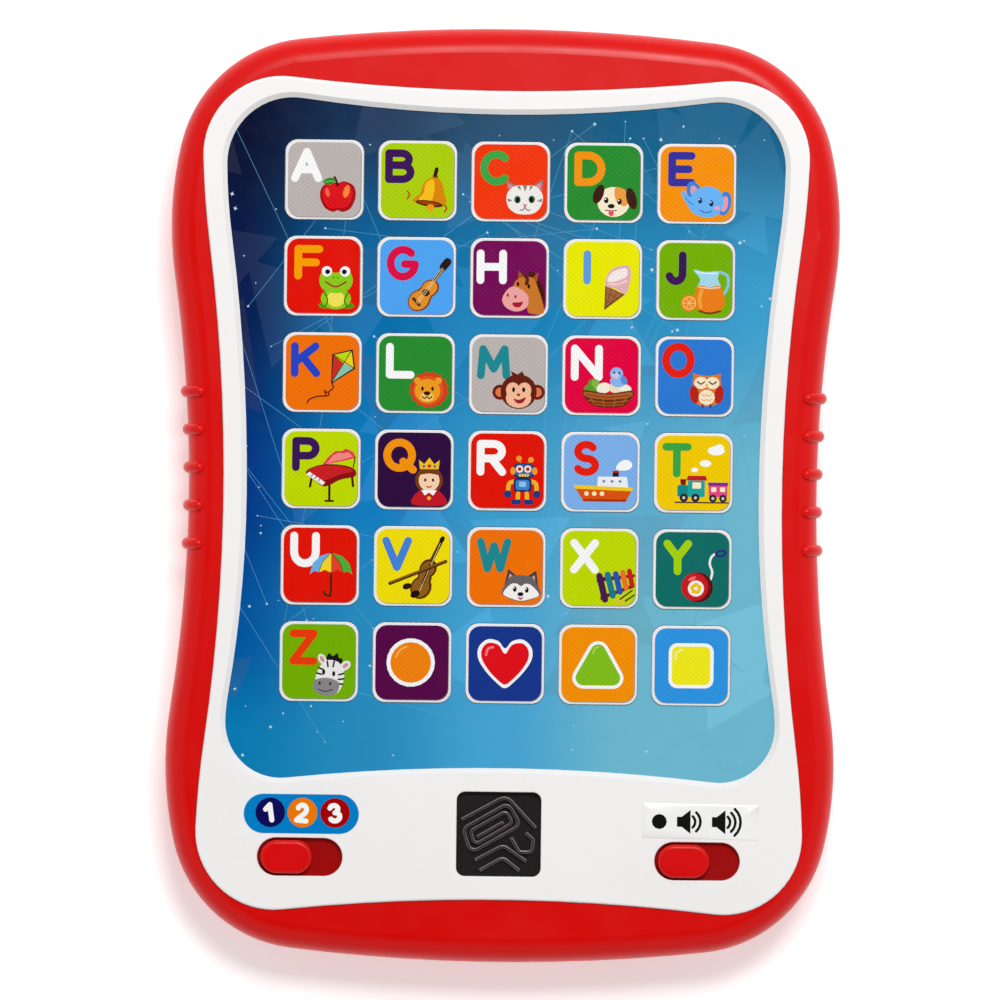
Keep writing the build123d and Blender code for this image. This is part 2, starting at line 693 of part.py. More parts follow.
battery_leads = [
    wire(
        [
            (-tag_x - 0.6, BAY_Y - tag_y - 1.8, cell_z),
            (-tag_x - 0.6, -56.0, 7.0),
            (-31.0, -66.0, 5.6),
            (-33.5, -76.0, 6.2),
            (-33.5, -81.5, board_low - 0.35),
        ],
        LEAD_R,
    ),
    wire(
        [
            (tag_x + 0.6, BAY_Y + tag_y - 1.8, cell_z),
            (tag_x + 1.0, -37.0, 6.6),
            (tag_x + 0.6, -50.0, 5.8),
            (30.5, -63.0, 5.4),
            (33.5, -76.0, 6.2),
            (33.5, -81.5, board_low - 0.35),
        ],
        LEAD_R,
    ),
]
with BuildPart() as battery_wires:
    add(battery_leads)
finish(battery_wires.part, "battery_wires")

speaker_leads = [
    wire(
        [
            (17.0 + shift, 41.5, 6.4),
            (26.0 + shift, 31.0, 5.8),
            (33.0 + shift, 15.0, 5.4),
            (36.0 + shift, -4.0, 5.6),
            (37.0 + shift, -25.0, 5.4),
            (39.0 + shift, -45.0, 5.6),
            (41.0 + shift, -62.0, 5.4),
            (42.0 + shift, -76.0, 6.2),
            (42.0 + shift, -81.5, board_low - 0.35),
        ],
        LEAD_R,
    )
    for shift in (0.0, 2.0)
]
with BuildPart() as speaker_wires:
    add(speaker_leads)
finish(speaker_wires.part, "speaker_wires")

# ---- stickers on the chin
STICKER = 0.12

with BuildPart() as number_sticker:
    with BuildSketch(Plane.XY.offset(FACING_TOP)):
        with Locations((-50.9, -82.6)):
            SlotOverall(29.6, 10.1)
    extrude(amount=STICKER)
finish(number_sticker.part, "number_sticker")

with BuildPart() as volume_sticker:
    with BuildSketch(Plane.XY.offset(FACING_TOP)):
        with Locations(Location((52.0, -83.4), -0.6)):
            RectangleRounded(29.9, 8.9, 0.4)
    extrude(amount=STICKER)
finish(volume_sticker.part, "volume_sticker")
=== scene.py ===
import math

import bmesh
import bpy
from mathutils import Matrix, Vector
from mathutils.geometry import delaunay_2d_cdt


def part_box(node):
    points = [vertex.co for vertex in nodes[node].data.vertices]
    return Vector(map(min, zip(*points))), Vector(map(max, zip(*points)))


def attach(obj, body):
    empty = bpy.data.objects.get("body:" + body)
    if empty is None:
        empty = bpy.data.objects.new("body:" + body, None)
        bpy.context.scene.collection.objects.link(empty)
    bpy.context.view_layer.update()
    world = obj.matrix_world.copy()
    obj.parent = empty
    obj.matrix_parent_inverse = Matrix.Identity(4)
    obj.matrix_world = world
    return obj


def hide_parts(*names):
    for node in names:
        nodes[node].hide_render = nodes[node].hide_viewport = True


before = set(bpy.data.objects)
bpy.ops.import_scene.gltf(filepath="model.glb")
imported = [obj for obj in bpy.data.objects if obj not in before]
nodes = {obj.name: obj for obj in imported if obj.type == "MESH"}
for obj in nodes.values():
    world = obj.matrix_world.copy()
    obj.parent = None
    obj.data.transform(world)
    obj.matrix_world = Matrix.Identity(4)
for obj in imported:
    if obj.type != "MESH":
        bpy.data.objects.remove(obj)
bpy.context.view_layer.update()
MM = 0.001


# ---------------------------------------------------------------- colours and materials

def ink(code, alpha=1.0):
    """A linear colour from six hex digits of sRGB."""
    parts = [int(code[i:i + 2], 16) / 255 for i in (0, 2, 4)]
    return tuple(c / 12.92 if c < 0.04045 else ((c + 0.055) / 1.055) ** 2.4 for c in parts) + (alpha,)


def toned(colour, factor):
    """The same linear colour, lighter or darker."""
    return tuple(min(1.0, c * factor) for c in colour[:3]) + (1.0,)


class Shader:
    """A node material: every link and socket is set by name."""

    def __init__(self, name):
        self.material = bpy.data.materials.new(name)
        self.material.use_nodes = True
        self.tree = self.material.node_tree
        self.tree.nodes.clear()
        self.out = self.add("ShaderNodeOutputMaterial")
        self.bsdf = self.add("ShaderNodeBsdfPrincipled")
        self.link(self.bsdf, "BSDF", self.out, "Surface")
        coordinates = self.add("ShaderNodeTexCoord")
        self.place = (coordinates, "Object")

    def add(self, kind, **settings):
        node = self.tree.nodes.new(kind)
        for key, value in settings.items():
            if hasattr(node, key):
                setattr(node, key, value)
            else:
                node.inputs[key.replace("_", " ")].default_value = value
        return node

    def link(self, a, output, b, entry):
        self.tree.links.new(a.outputs[output], b.inputs[entry])

    def noise(self, size, detail=3.0, stretch=None):
        """Noise with features of this size in metres, from 0 to 1."""
        node = self.add("ShaderNodeTexNoise", Scale=1.0 / size, Detail=detail)
        if stretch:
            mapping = self.add("ShaderNodeMapping")
            mapping.inputs["Scale"].default_value = stretch
            self.link(*self.place, mapping, "Vector")
            self.link(mapping, "Vector", node, "Vector")
        else:
            self.link(*self.place, node, "Vector")
        return node

    def spread(self, node, output, low, high):
        """Stretches the middle of a 0 to 1 texture between two values."""
        rng = self.add("ShaderNodeMapRange")
        for name, value in (("From Min", 0.3), ("From Max", 0.7), ("To Min", low), ("To Max", high)):
            rng.inputs[name].default_value = value
        self.link(node, output, rng, "Value")
        return rng

    def blend(self, factor, a, b):
        """Mixes two colours; each may be a colour or a (node, output) pair."""
        mix = self.add("ShaderNodeMix", data_type="RGBA")
        if isinstance(factor, (int, float)):
            mix.inputs[0].default_value = factor
        else:
            self.tree.links.new(factor[0].outputs[factor[1]], mix.inputs[0])
        for value, entry in ((a, 6), (b, 7)):
            if isinstance(value[0], bpy.types.Node):
                self.tree.links.new(value[0].outputs[value[1]], mix.inputs[entry])
            else:
                mix.inputs[entry].default_value = value
        return mix, 2

    def colour(self, pair):
        self.tree.links.new(pair[0].outputs[pair[1]], self.bsdf.inputs["Base Color"])

    def rough(self, size, low, high):
        rng = self.spread(self.noise(size, 4.0), 0, low, high)
        self.link(rng, "Result", self.bsdf, "Roughness")

    def bump(self, node, output, height, strength=1.0):
        bump = self.add("ShaderNodeBump", Strength=strength, Distance=height)
        self.link(node, output, bump, "Height")
        if self.bsdf.inputs["Normal"].links:
            before = self.bsdf.inputs["Normal"].links[0].from_node
            self.link(before, "Normal", bump, "Normal")
        self.link(bump, "Normal", self.bsdf, "Normal")

    def set(self, **values):
        for key, value in values.items():
            self.bsdf.inputs[key.replace("_", " ")].default_value = value
        return self


def moulded(name, code, rough=(0.3, 0.4), grain=0.0004, height=0.00001, tone=0.06, painted_shade_height=None, **extra):
    """Moulded plastic: slight tone drift, uneven gloss and a fine spark-eroded grain.

    Below the given height, in millimetres, the colour is painted darker as shade, down to half its brightness
    0.4 mm lower."""
    s = Shader(name)
    base = ink(code)
    drift = s.noise(0.03, 2.0)
    paint = s.blend((drift, 0), toned(base, 1 - tone), toned(base, 1 + tone))
    # painted shade: parts lower than the given height, such as a plate down in a slot, are darkened
    if painted_shade_height:
        split = s.add("ShaderNodeSeparateXYZ")
        s.link(*s.place, split, "Vector")
        painted_shade_mask = s.add("ShaderNodeMapRange")
        for entry, value in (("From Min", (painted_shade_height - 0.4) * MM), ("From Max", painted_shade_height * MM)):
            painted_shade_mask.inputs[entry].default_value = value
        s.link(split, "Z", painted_shade_mask, "Value")
        paint = s.blend((painted_shade_mask, 0), toned(base, 0.5), paint)
    s.colour(paint)
    s.rough(0.012, *rough)
    s.bump(s.noise(grain, 2.0), 0, height)
    return s.set(Specular_IOR_Level=0.25, **extra).material


def metal(name, code, rough=(0.25, 0.4), brushed=0.0003):
    s = Shader(name)
    base = ink(code)
    streaks = s.noise(brushed, 3.0, stretch=(1.0, 0.08, 1.0))
    s.colour(s.blend((streaks, 0), toned(base, 0.8), toned(base, 1.1)))
    s.rough(0.002, *rough)
    s.bump(streaks, 0, 0.000004)
    return s.set(Metallic=1.0).material


# ---------------------------------------------------------------- printing: pictures of coloured outlines

def arc(x, y, rx, ry, start, end, steps=0):
    """Points along an ellipse, angles in degrees."""
    count = steps or max(4, int(abs(end - start) / 15))
    turns = [math.radians(start + (end - start) * i / count) for i in range(count + 1)]
    return [(x + rx * math.cos(t), y + ry * math.sin(t)) for t in turns]


def disc(x, y, rx, ry=None, turn=0.0):
    ry = rx if ry is None else ry
    points = arc(0, 0, rx, ry, 0, 360, max(12, int(9 * math.sqrt(max(rx, ry)))))[:-1]
    c, s = math.cos(math.radians(turn)), math.sin(math.radians(turn))
    return [(x + c * u - s * v, y + s * u + c * v) for u, v in points]


def smooth(points, closed, steps=4):
    """A curve through the points."""
    n = len(points)
    result = []
    for i in range(n if closed else n - 1):
        if closed:
            p = [points[(i + k) % n] for k in (-1, 0, 1, 2)]
        else:
            p = [points[min(max(i + k, 0), n - 1)] for k in (-1, 0, 1, 2)]
        for j in range(steps):
            t = j / steps
            result.append(tuple(
                0.5 * (2 * b + (c - a) * t + (2 * a - 5 * b + 4 * c - d) * t * t
                       + (3 * b - a - 3 * c + d) * t ** 3)
                for a, b, c, d in zip(*p)
            ))
    return result if closed else result + [points[-1]]


def capsule(a, b, width):
    """The outline of a straight stroke with round ends."""
    turn = math.degrees(math.atan2(b[1] - a[1], b[0] - a[0]))
    r = width / 2
    return arc(*b, r, r, turn - 90, turn + 90, 7) + arc(*a, r, r, turn + 90, turn + 270, 7)


def strokes(points, width):
    return [capsule(a, b, width) for a, b in zip(points, points[1:])]


def rounded_box(x, y, width, height, radius):
    w, h = width / 2 - radius, height / 2 - radius
    corners = ((w, h, 0), (-w, h, 90), (-w, -h, 180), (w, -h, 270))
    return [p for cx, cy, a in corners for p in arc(x + cx, y + cy, radius, radius, a, a + 90, 5)]


def outlines(kind, *numbers):
    """The outlines that one drawing word stands for."""
    if kind == "disc":
        return [disc(*numbers)]
    if kind == "blob":
        return [smooth(numbers, True)]
    if kind == "area":
        return [list(numbers)]
    if kind == "line":
        return strokes(numbers[1:], numbers[0])
    if kind == "curve":
        return strokes(smooth(numbers[1:], False, 3), numbers[0])
    if kind == "box":
        return [rounded_box(*numbers)]
    raise ValueError(kind)


def counter_clockwise(points):
    area = sum(a[0] * b[1] - b[0] * a[1] for a, b in zip(points, points[1:] + points[:1]))
    return points if area > 0 else points[::-1]


def top_region(mesh_bm, top):
    """The faces of the flat top at this height."""
    return [f for f in mesh_bm.faces if f.normal.z > 0.99 and abs(f.calc_center_median().z - top) < 1e-5]


def boundary_loops(region):
    """The closed chains of vertices round a region of faces, the longest first."""
    inside = set(region)
    edges = [e for f in region for e in f.edges if sum(g in inside for g in e.link_faces) == 1]
    links = {}
    for e in edges:
        a, b = e.verts
        links.setdefault(a, []).append(b)
        links.setdefault(b, []).append(a)
    loops = []
    left = dict(links)
    while left:
        here = next(iter(left))
        chain = []
        while here in left:
            chain.append(here)
            following = [v for v in left.pop(here) if v in left]
            here = following[0] if following else None
        loops.append([(v.co.x, v.co.y) for v in chain])
    return sorted(loops, key=lambda p: -max(q[0] for q in p) + min(q[0] for q in p))


def printed(node_name, drawing, name):
    """A copy of a CAD piece whose flat top is divided into the areas of a drawing.

    The drawing is a list of (points, colour or None), each over the ones before; None cuts a hole.
    The first takes the flat top's own outline, and nothing outside that outline is kept.
    A colour is either one value or a function of the point. It is stored on the face corners."""
    bm = bmesh.new()
    bm.from_mesh(nodes[node_name].data)
    bmesh.ops.remove_doubles(bm, verts=bm.verts, dist=1e-7)
    bm.normal_update()
    top = max(v.co.z for v in bm.verts)
    region = top_region(bm, top)
    loops = boundary_loops(region)
    shapes = [(loops[0], drawing[0][1])] + list(drawing[1:]) + [(loop, None) for loop in loops[1:]]
    points, polygons = [], []
    for outline, _ in shapes:
        outline = counter_clockwise(list(outline))
        polygons.append(list(range(len(points), len(points) + len(outline))))
        points += [Vector(p) * 1000 for p in outline]
    flat, _, faces, _, _, origin = delaunay_2d_cdt(points, [], polygons, 1, 1e-4)
    bmesh.ops.delete(bm, geom=region, context="FACES_ONLY")
    colours = bm.loops.layers.float_color.new("ink")
    edge_colour = drawing[0][1]
    for f in bm.faces:
        for corner in f.loops:
            corner[colours] = edge_colour(corner.vert.co) if callable(edge_colour) else edge_colour
    verts = [bm.verts.new((p.x / 1000, p.y / 1000, top)) for p in flat]
    for face, owners in zip(faces, origin):
        fill = shapes[max(owners)][1] if owners else None
        if fill is None or 0 not in owners:
            continue
        try:
            f = bm.faces.new([verts[i] for i in face])
        except ValueError:
            continue
        for corner in f.loops:
            corner[colours] = fill(corner.vert.co) if callable(fill) else fill
    bmesh.ops.remove_doubles(bm, verts=bm.verts, dist=2e-7)
    bmesh.ops.delete(bm, geom=[v for v in bm.verts if not v.link_faces], context="VERTS")
    bm.normal_update()
    for f in bm.faces:
        if f.normal.z < -0.5 and abs(f.calc_center_median().z - top) < 1e-6:
            f.normal_flip()
    mesh = bpy.data.meshes.new(name)
    bm.to_mesh(mesh)
    bm.free()
    mesh.shade_smooth()
    mesh.set_sharp_from_angle(angle=math.radians(35))
    piece = bpy.data.objects.new(name, mesh)
    bpy.context.scene.collection.objects.link(piece)
    return piece


def finish_of(name, pitch=0.00063, emboss=0.000006, tone=0.0):
    """The finish of a printed film or sticker, coloured by the areas of its drawing.

    Two crossed sets of ridges, this pitch apart, emboss it; tone is how much they darken it."""
    s = Shader(name)
    paint = s.add("ShaderNodeAttribute", attribute_name="ink")
    ridges = []
    for turn in (52, -52):
        mapping = s.add("ShaderNodeMapping")
        mapping.inputs["Rotation"].default_value = (0, 0, math.radians(turn))
        wave = s.add("ShaderNodeTexWave", Scale=math.tau / 20 / pitch)
        s.link(*s.place, mapping, "Vector")
        s.link(mapping, "Vector", wave, "Vector")
        ridges.append(wave)
    cross = s.add("ShaderNodeMath", operation="MULTIPLY")
    s.link(ridges[0], "Fac", cross, 0)
    s.link(ridges[1], "Fac", cross, 1)
    drift = s.blend((s.noise(0.004, 3.0), 0), (0.93, 0.93, 0.93, 1), (1, 1, 1, 1))
    weave = s.blend((cross, 0), (1 - tone, 1 - tone, 1 - tone, 1), (1 + tone, 1 + tone, 1 + tone, 1))
    layers = (paint, "Color")
    for layer in (drift, weave):
        product = s.add("ShaderNodeMix", data_type="RGBA", blend_type="MULTIPLY")
        product.inputs[0].default_value = 1.0
        s.link(*layers, product, 6)
        s.link(*layer, product, 7)
        layers = (product, 2)
    s.colour(layers)
    s.rough(0.005, 0.14, 0.22)
    s.bump(cross, 0, emboss)
    return s.set(Specular_IOR_Level=0.25).material


def clear(name, code, edge):
    """Clear moulded plastic over a dark well; the slopes of its ribs are frosted and painted pale, a painted
    reflection along the rib edges.
    """
    s = Shader(name)
    s.colour(s.blend((s.noise(0.01), 0), ink(code), toned(ink(code), 0.9)))
    s.rough(0.004, 0.05, 0.12)
    s.bump(s.noise(0.002), 0, 0.000006)
    s.set(Transmission_Weight=0.9, IOR=1.49, Specular_IOR_Level=0.3)
    # painted reflection: the rib slopes are made rough and a pale grey, standing in for the light caught
    # along the rib edges
    frost_and_sheen = s.add("ShaderNodeBsdfPrincipled")
    mist, shade = s.blend((s.noise(0.0008), 0), toned(ink(edge), 0.6), ink(edge))
    s.link(mist, shade, frost_and_sheen, "Base Color")
    frost_and_sheen.inputs["Roughness"].default_value = 0.3
    side = s.add("ShaderNodeNewGeometry")
    split = s.add("ShaderNodeSeparateXYZ")
    slope = s.add("ShaderNodeMapRange")
    for entry, value in (("From Min", 0.97), ("From Max", 0.8), ("To Min", 0.0), ("To Max", 0.8)):
        slope.inputs[entry].default_value = value
    mix = s.add("ShaderNodeMixShader")
    s.link(side, "Normal", split, "Vector")
    s.link(split, "Z", slope, "Value")
    s.link(slope, "Result", mix, 0)
    s.link(s.bsdf, "BSDF", mix, 1)
    s.link(frost_and_sheen, "BSDF", mix, 2)
    s.link(mix, "Shader", s.out, "Surface")
    return s.material


def board(name):
    """Green solder mask over copper tracks."""
    s = Shader(name)
    cells = s.add("ShaderNodeTexVoronoi", Scale=700.0, feature="DISTANCE_TO_EDGE", distance="MANHATTAN")
    s.link(*s.place, cells, "Vector")
    line = s.add("ShaderNodeMapRange")
    for entry, value in (("From Min", 0.02), ("From Max", 0.05), ("To Min", 1.0), ("To Max", 0.0)):
        line.inputs[entry].default_value = value
    s.link(cells, 0, line, "Value")
    s.colour(s.blend((line, 0), ink("0d5a2b"), ink("2c8a4a")))
    s.rough(0.003, 0.25, 0.4)
    s.bump(line, 0, 0.00002, 0.5)
    return s.material


def wrapped(name):
    """A dry cell's printed jacket: a dark sleeve with a band at the positive end."""
    s = Shader(name)
    wave = s.add("ShaderNodeTexWave", Scale=14.0, bands_direction="X")
    s.link(*s.place, wave, "Vector")
    band = s.spread(wave, 0, 0.0, 1.0)
    s.colour(s.blend((band, 0), ink("2a2d33"), ink("c9892b")))
    s.rough(0.004, 0.25, 0.35)
    s.bump(s.noise(0.0005), 0, 0.000004)
    return s.set(Metallic=0.3).material


def speaker_paper(name):
    s = Shader(name)
    fibres = s.noise(0.0006, 5.0, stretch=(1.0, 0.4, 1.0))
    s.colour(s.blend((fibres, 0), ink("2b2a29"), ink("4b4845")))
    s.rough(0.002, 0.75, 0.9)
    s.bump(fibres, 0, 0.00003)
    return s.material


red_shell = moulded("red_moulding", "da0300", rough=(0.28, 0.36), height=0.000006)
white_bezel = moulded("white_moulding", "f7f5f4", rough=(0.22, 0.32), tone=0.02, height=0.000004)
# painted shade: the slider's cover plate, down in its slot below 21.9 mm, is coloured darker red
knob_red = moulded("knob_moulding", "dc0002", rough=(0.28, 0.36), height=0.000006, painted_shade_height=21.9)
led_body = moulded("led_moulding", "f2f2ea", rough=(0.1, 0.2), grain=0.0002, height=0.000002)
epoxy = moulded("black_epoxy", "101012", rough=(0.25, 0.4), grain=0.0008, height=0.00002)
parts_black = moulded("component_moulding", "3a3a3c", rough=(0.35, 0.5), grain=0.0002)
sleeve = moulded("wire_sleeve", "c8141a", rough=(0.35, 0.45), grain=0.0006, height=0.000008)
membrane = moulded("membrane_film", "dfe6e4", rough=(0.2, 0.35), grain=0.0008, height=0.000006)
carbon = moulded("carbon_print", "26272a", rough=(0.5, 0.65), grain=0.0003)
steel = metal("plated_steel", "c9ccd0")
zinc = metal("zinc_screw", "b9bcc2", rough=(0.3, 0.45))
copper = metal("wiper_bronze", "d0a060")
print_film = finish_of("printed_film", emboss=0.000006)
print_key = finish_of("printed_key", pitch=0.0009, emboss=0.00002, tone=0.07)
print_label = finish_of("printed_label", emboss=0.000002)

finishes = {
    "rear_shell": red_shell, "front_shell": red_shell, "front_bezel": white_bezel, "battery_door": red_shell,
    "membrane_spacer": membrane, "membrane_circuit": membrane, "membrane_tail": carbon,
    "mode_slider": knob_red, "volume_slider": knob_red, "mode_wiper": copper, "volume_wiper": copper,
    "main_board": board("solder_mask"), "sound_chip": epoxy, "board_components": parts_black,
    "light_led": led_body, "light_lens": clear("clear_window", "7c7476", "b8aab0"),
    "speaker": steel, "speaker_cone": speaker_paper("paper_cone"),
    "battery_door_screw": zinc, "case_screws": zinc, "board_screws": zinc,
    "batteries": wrapped("cell_jacket"), "battery_springs": steel, "battery_contacts": steel,
    "speaker_wires": sleeve, "battery_wires": sleeve,
}
for name, material in finishes.items():
    nodes[name].data.materials.clear()
    nodes[name].data.materials.append(material)


# ---------------------------------------------------------------- letters

FONT = {
    "a": [[(0, 0), (0.5, 1), (1, 0)], [(0.2, 0.33), (0.8, 0.33)]],
    "b": [[(0, 0), (0, 1), *arc(0.58, 0.77, 0.34, 0.23, 90, -90), (0, 0.54),
           *arc(0.6, 0.27, 0.4, 0.27, 90, -90), (0, 0)]],
    "c": [arc(0.54, 0.5, 0.54, 0.5, 48, 312)],
    "d": [[(0, 0), (0, 1), *arc(0.42, 0.5, 0.58, 0.5, 90, -90), (0, 0)]],
    "e": [[(1, 1), (0, 1), (0, 0), (1, 0)], [(0, 0.5), (0.86, 0.5)]],
    "f": [[(1, 1), (0, 1), (0, 0)], [(0, 0.5), (0.84, 0.5)]],
    "g": [[*arc(0.52, 0.5, 0.52, 0.5, 48, 356), (0.6, 0.47)]],
    "h": [[(0, 0), (0, 1)], [(1, 0), (1, 1)], [(0, 0.5), (1, 0.5)]],
    "i": [[(0.5, 0), (0.5, 1)]],
    "j": [[(1, 1), *arc(0.52, 0.3, 0.48, 0.3, 0, -160)]],
    "k": [[(0, 0), (0, 1)], [(0.95, 1), (0.05, 0.42)], [(0.35, 0.62), (1, 0)]],
    "l": [[(0, 1), (0, 0), (1, 0)]],
    "m": [[(0, 0), (0.08, 1), (0.5, 0.25), (0.92, 1), (1, 0)]],
    "n": [[(0, 0), (0, 1), (1, 0), (1, 1)]],
    "o": [arc(0.5, 0.5, 0.5, 0.5, 0, 360)],
    "p": [[(0, 0), (0, 1), *arc(0.6, 0.72, 0.4, 0.28, 90, -90), (0, 0.44)]],
    "q": [arc(0.48, 0.53, 0.48, 0.47, 0, 360), [(0.62, 0.3), (1, 0)]],
    "r": [[(0, 0), (0, 1), *arc(0.6, 0.74, 0.38, 0.26, 90, -90), (0, 0.48)], [(0.5, 0.48), (1, 0)]],
    "s": [[*arc(0.5, 0.75, 0.44, 0.25, 35, 270), *arc(0.5, 0.25, 0.5, 0.25, 75, -150)]],
    "t": [[(0, 1), (1, 1)], [(0.5, 1), (0.5, 0)]],
    "u": [[(0, 1), *arc(0.5, 0.42, 0.5, 0.42, 180, 360), (1, 1)]],
    "v": [[(0, 1), (0.5, 0), (1, 1)]],
    "w": [[(0, 1), (0.26, 0), (0.5, 0.85), (0.74, 0), (1, 1)]],
    "x": [[(0, 1), (1, 0)], [(0, 0), (1, 1)]],
    "y": [[(0, 1), (0.5, 0.5), (1, 1)], [(0.5, 0.5), (0.5, 0)]],
    "z": [[(0, 1), (1, 1), (0, 0), (1, 0)]],
    "1": [[(0.1, 0.74), (0.6, 1), (0.6, 0)]],
    "2": [[*arc(0.48, 0.7, 0.44, 0.3, 165, -35), (0, 0), (1, 0)]],
    "3": [[*arc(0.46, 0.76, 0.42, 0.24, 155, -80), *arc(0.48, 0.27, 0.5, 0.27, 75, -155)]],
}


def lettered(symbol, left, right, top, bottom, width, turn=0.0):
    """The strokes of a letter filling a box, as outlines."""
    r = width / 2
    w, h = right - left - width, top - bottom - width
    x0, y0 = (left + right) / 2, (top + bottom) / 2
    c, s = math.cos(math.radians(turn)), math.sin(math.radians(turn))
    result = []
    for stroke in FONT[symbol]:
        local = [((x - 0.5) * w, (y - 0.5) * h) for x, y in stroke]
        result += strokes([(x0 + c * x - s * y, y0 + s * x + c * y) for x, y in local], width)
    return result


# the inks of the tiles and of the sky
INKS = {
    "grey": "c0b8b4", "lime": "b0d408", "chartreuse": "c4e000", "scarlet": "f83808", "green": "289030",
    "amber": "fc9404", "red": "e81404", "cornflower": "50a8f8", "plum": "780858", "yellow": "f0f000",
    "grass": "78b400", "orange": "f87404", "crimson": "e80040", "blue": "2c7cd8", "aubergine": "300c40",
    "pale_blue": "80b4f0", "gold": "f8d000", "lemon": "f8e408", "teal": "107068", "mulberry": "580848",
    "navy": "183890", "azure": "3098e8", "midnight": "081030", "dusk": "183458", "storm": "2c5474",
    "harbour": "106088", "night": "041c50", "deep": "003888", "ocean": "0058a4", "current": "0470ac",
    "lagoon": "0880b8", "bright": "1080c4", "shallow": "2890c4", "surf": "3ca0d0", "powder": "48a8d8",
    "mist": "60b0d4", "haze": "70bcd4",
}

# key: tile ink, letter colour, letter box (left, right, top, bottom)
LETTERS = {
    "a": ("grey", "ffffff", -8.6, -0.6, 8.1, -0.7), "b": ("lime", "3c145a", -8.4, -0.8, 8.0, -0.7),
    "c": ("scarlet", "3caa46", -7.9, 0.1, 8.0, -1.0), "d": ("green", "fa960a", -7.6, 0.4, 8.0, -0.9),
    "e": ("amber", "3732a0", -7.4, -0.4, 8.2, -0.7), "f": ("red", "ffa500", -7.5, -0.1, 7.9, -1.0),
    "g": ("cornflower", "e10a46", -7.7, 0.4, 8.0, -1.0), "h": ("plum", "ffffff", -8.5, -0.7, 7.3, -1.6),
    "i": ("yellow", "64a0e1", -5.0, -3.0, 7.4, -1.4), "j": ("grass", "3c145a", -8.0, -2.4, 7.4, -1.3),
    "k": ("orange", "2846c8", -8.1, -0.5, 7.7, -1.3), "l": ("green", "ffffff", -7.6, -0.2, 7.8, -1.4),
    "m": ("grey", "1e8c96", -8.1, 0.5, 7.5, -1.3), "n": ("crimson", "ffffff", -7.9, 0.3, 7.9, -1.4),
    "o": ("blue", "eb1e0a", -8.4, 0.0, 8.7, -0.4), "p": ("chartreuse", "3c145a", -7.5, -0.4, 8.1, -0.7),
    "q": ("aubergine", "fa960a", -8.0, 0.7, 8.0, -1.0), "r": ("red", "ffffff", -7.9, -0.3, 7.9, -1.3),
    "s": ("pale_blue", "eb1e0a", -7.1, -0.3, 8.0, -1.1), "t": ("gold", "3caa46", -8.1, -0.5, 7.7, -1.2),
    "u": ("red", "ffffff", -7.7, -0.1, 8.5, -0.6), "v": ("lemon", "4687dc", -8.0, -0.3, 7.5, -1.3),
    "w": ("orange", "1e8c96", -7.6, 1.3, 7.5, -1.4), "x": ("chartreuse", "ffffff", -7.5, -0.1, 7.5, -1.4),
    "y": ("teal", "aad70a", -7.5, -0.1, 7.6, -1.5), "z": ("grass", "f03c0a", -7.6, -0.4, 8.2, -0.9),
}
SHAPES = {"circle": "mulberry", "heart": "navy", "triangle": "amber", "square": "azure"}

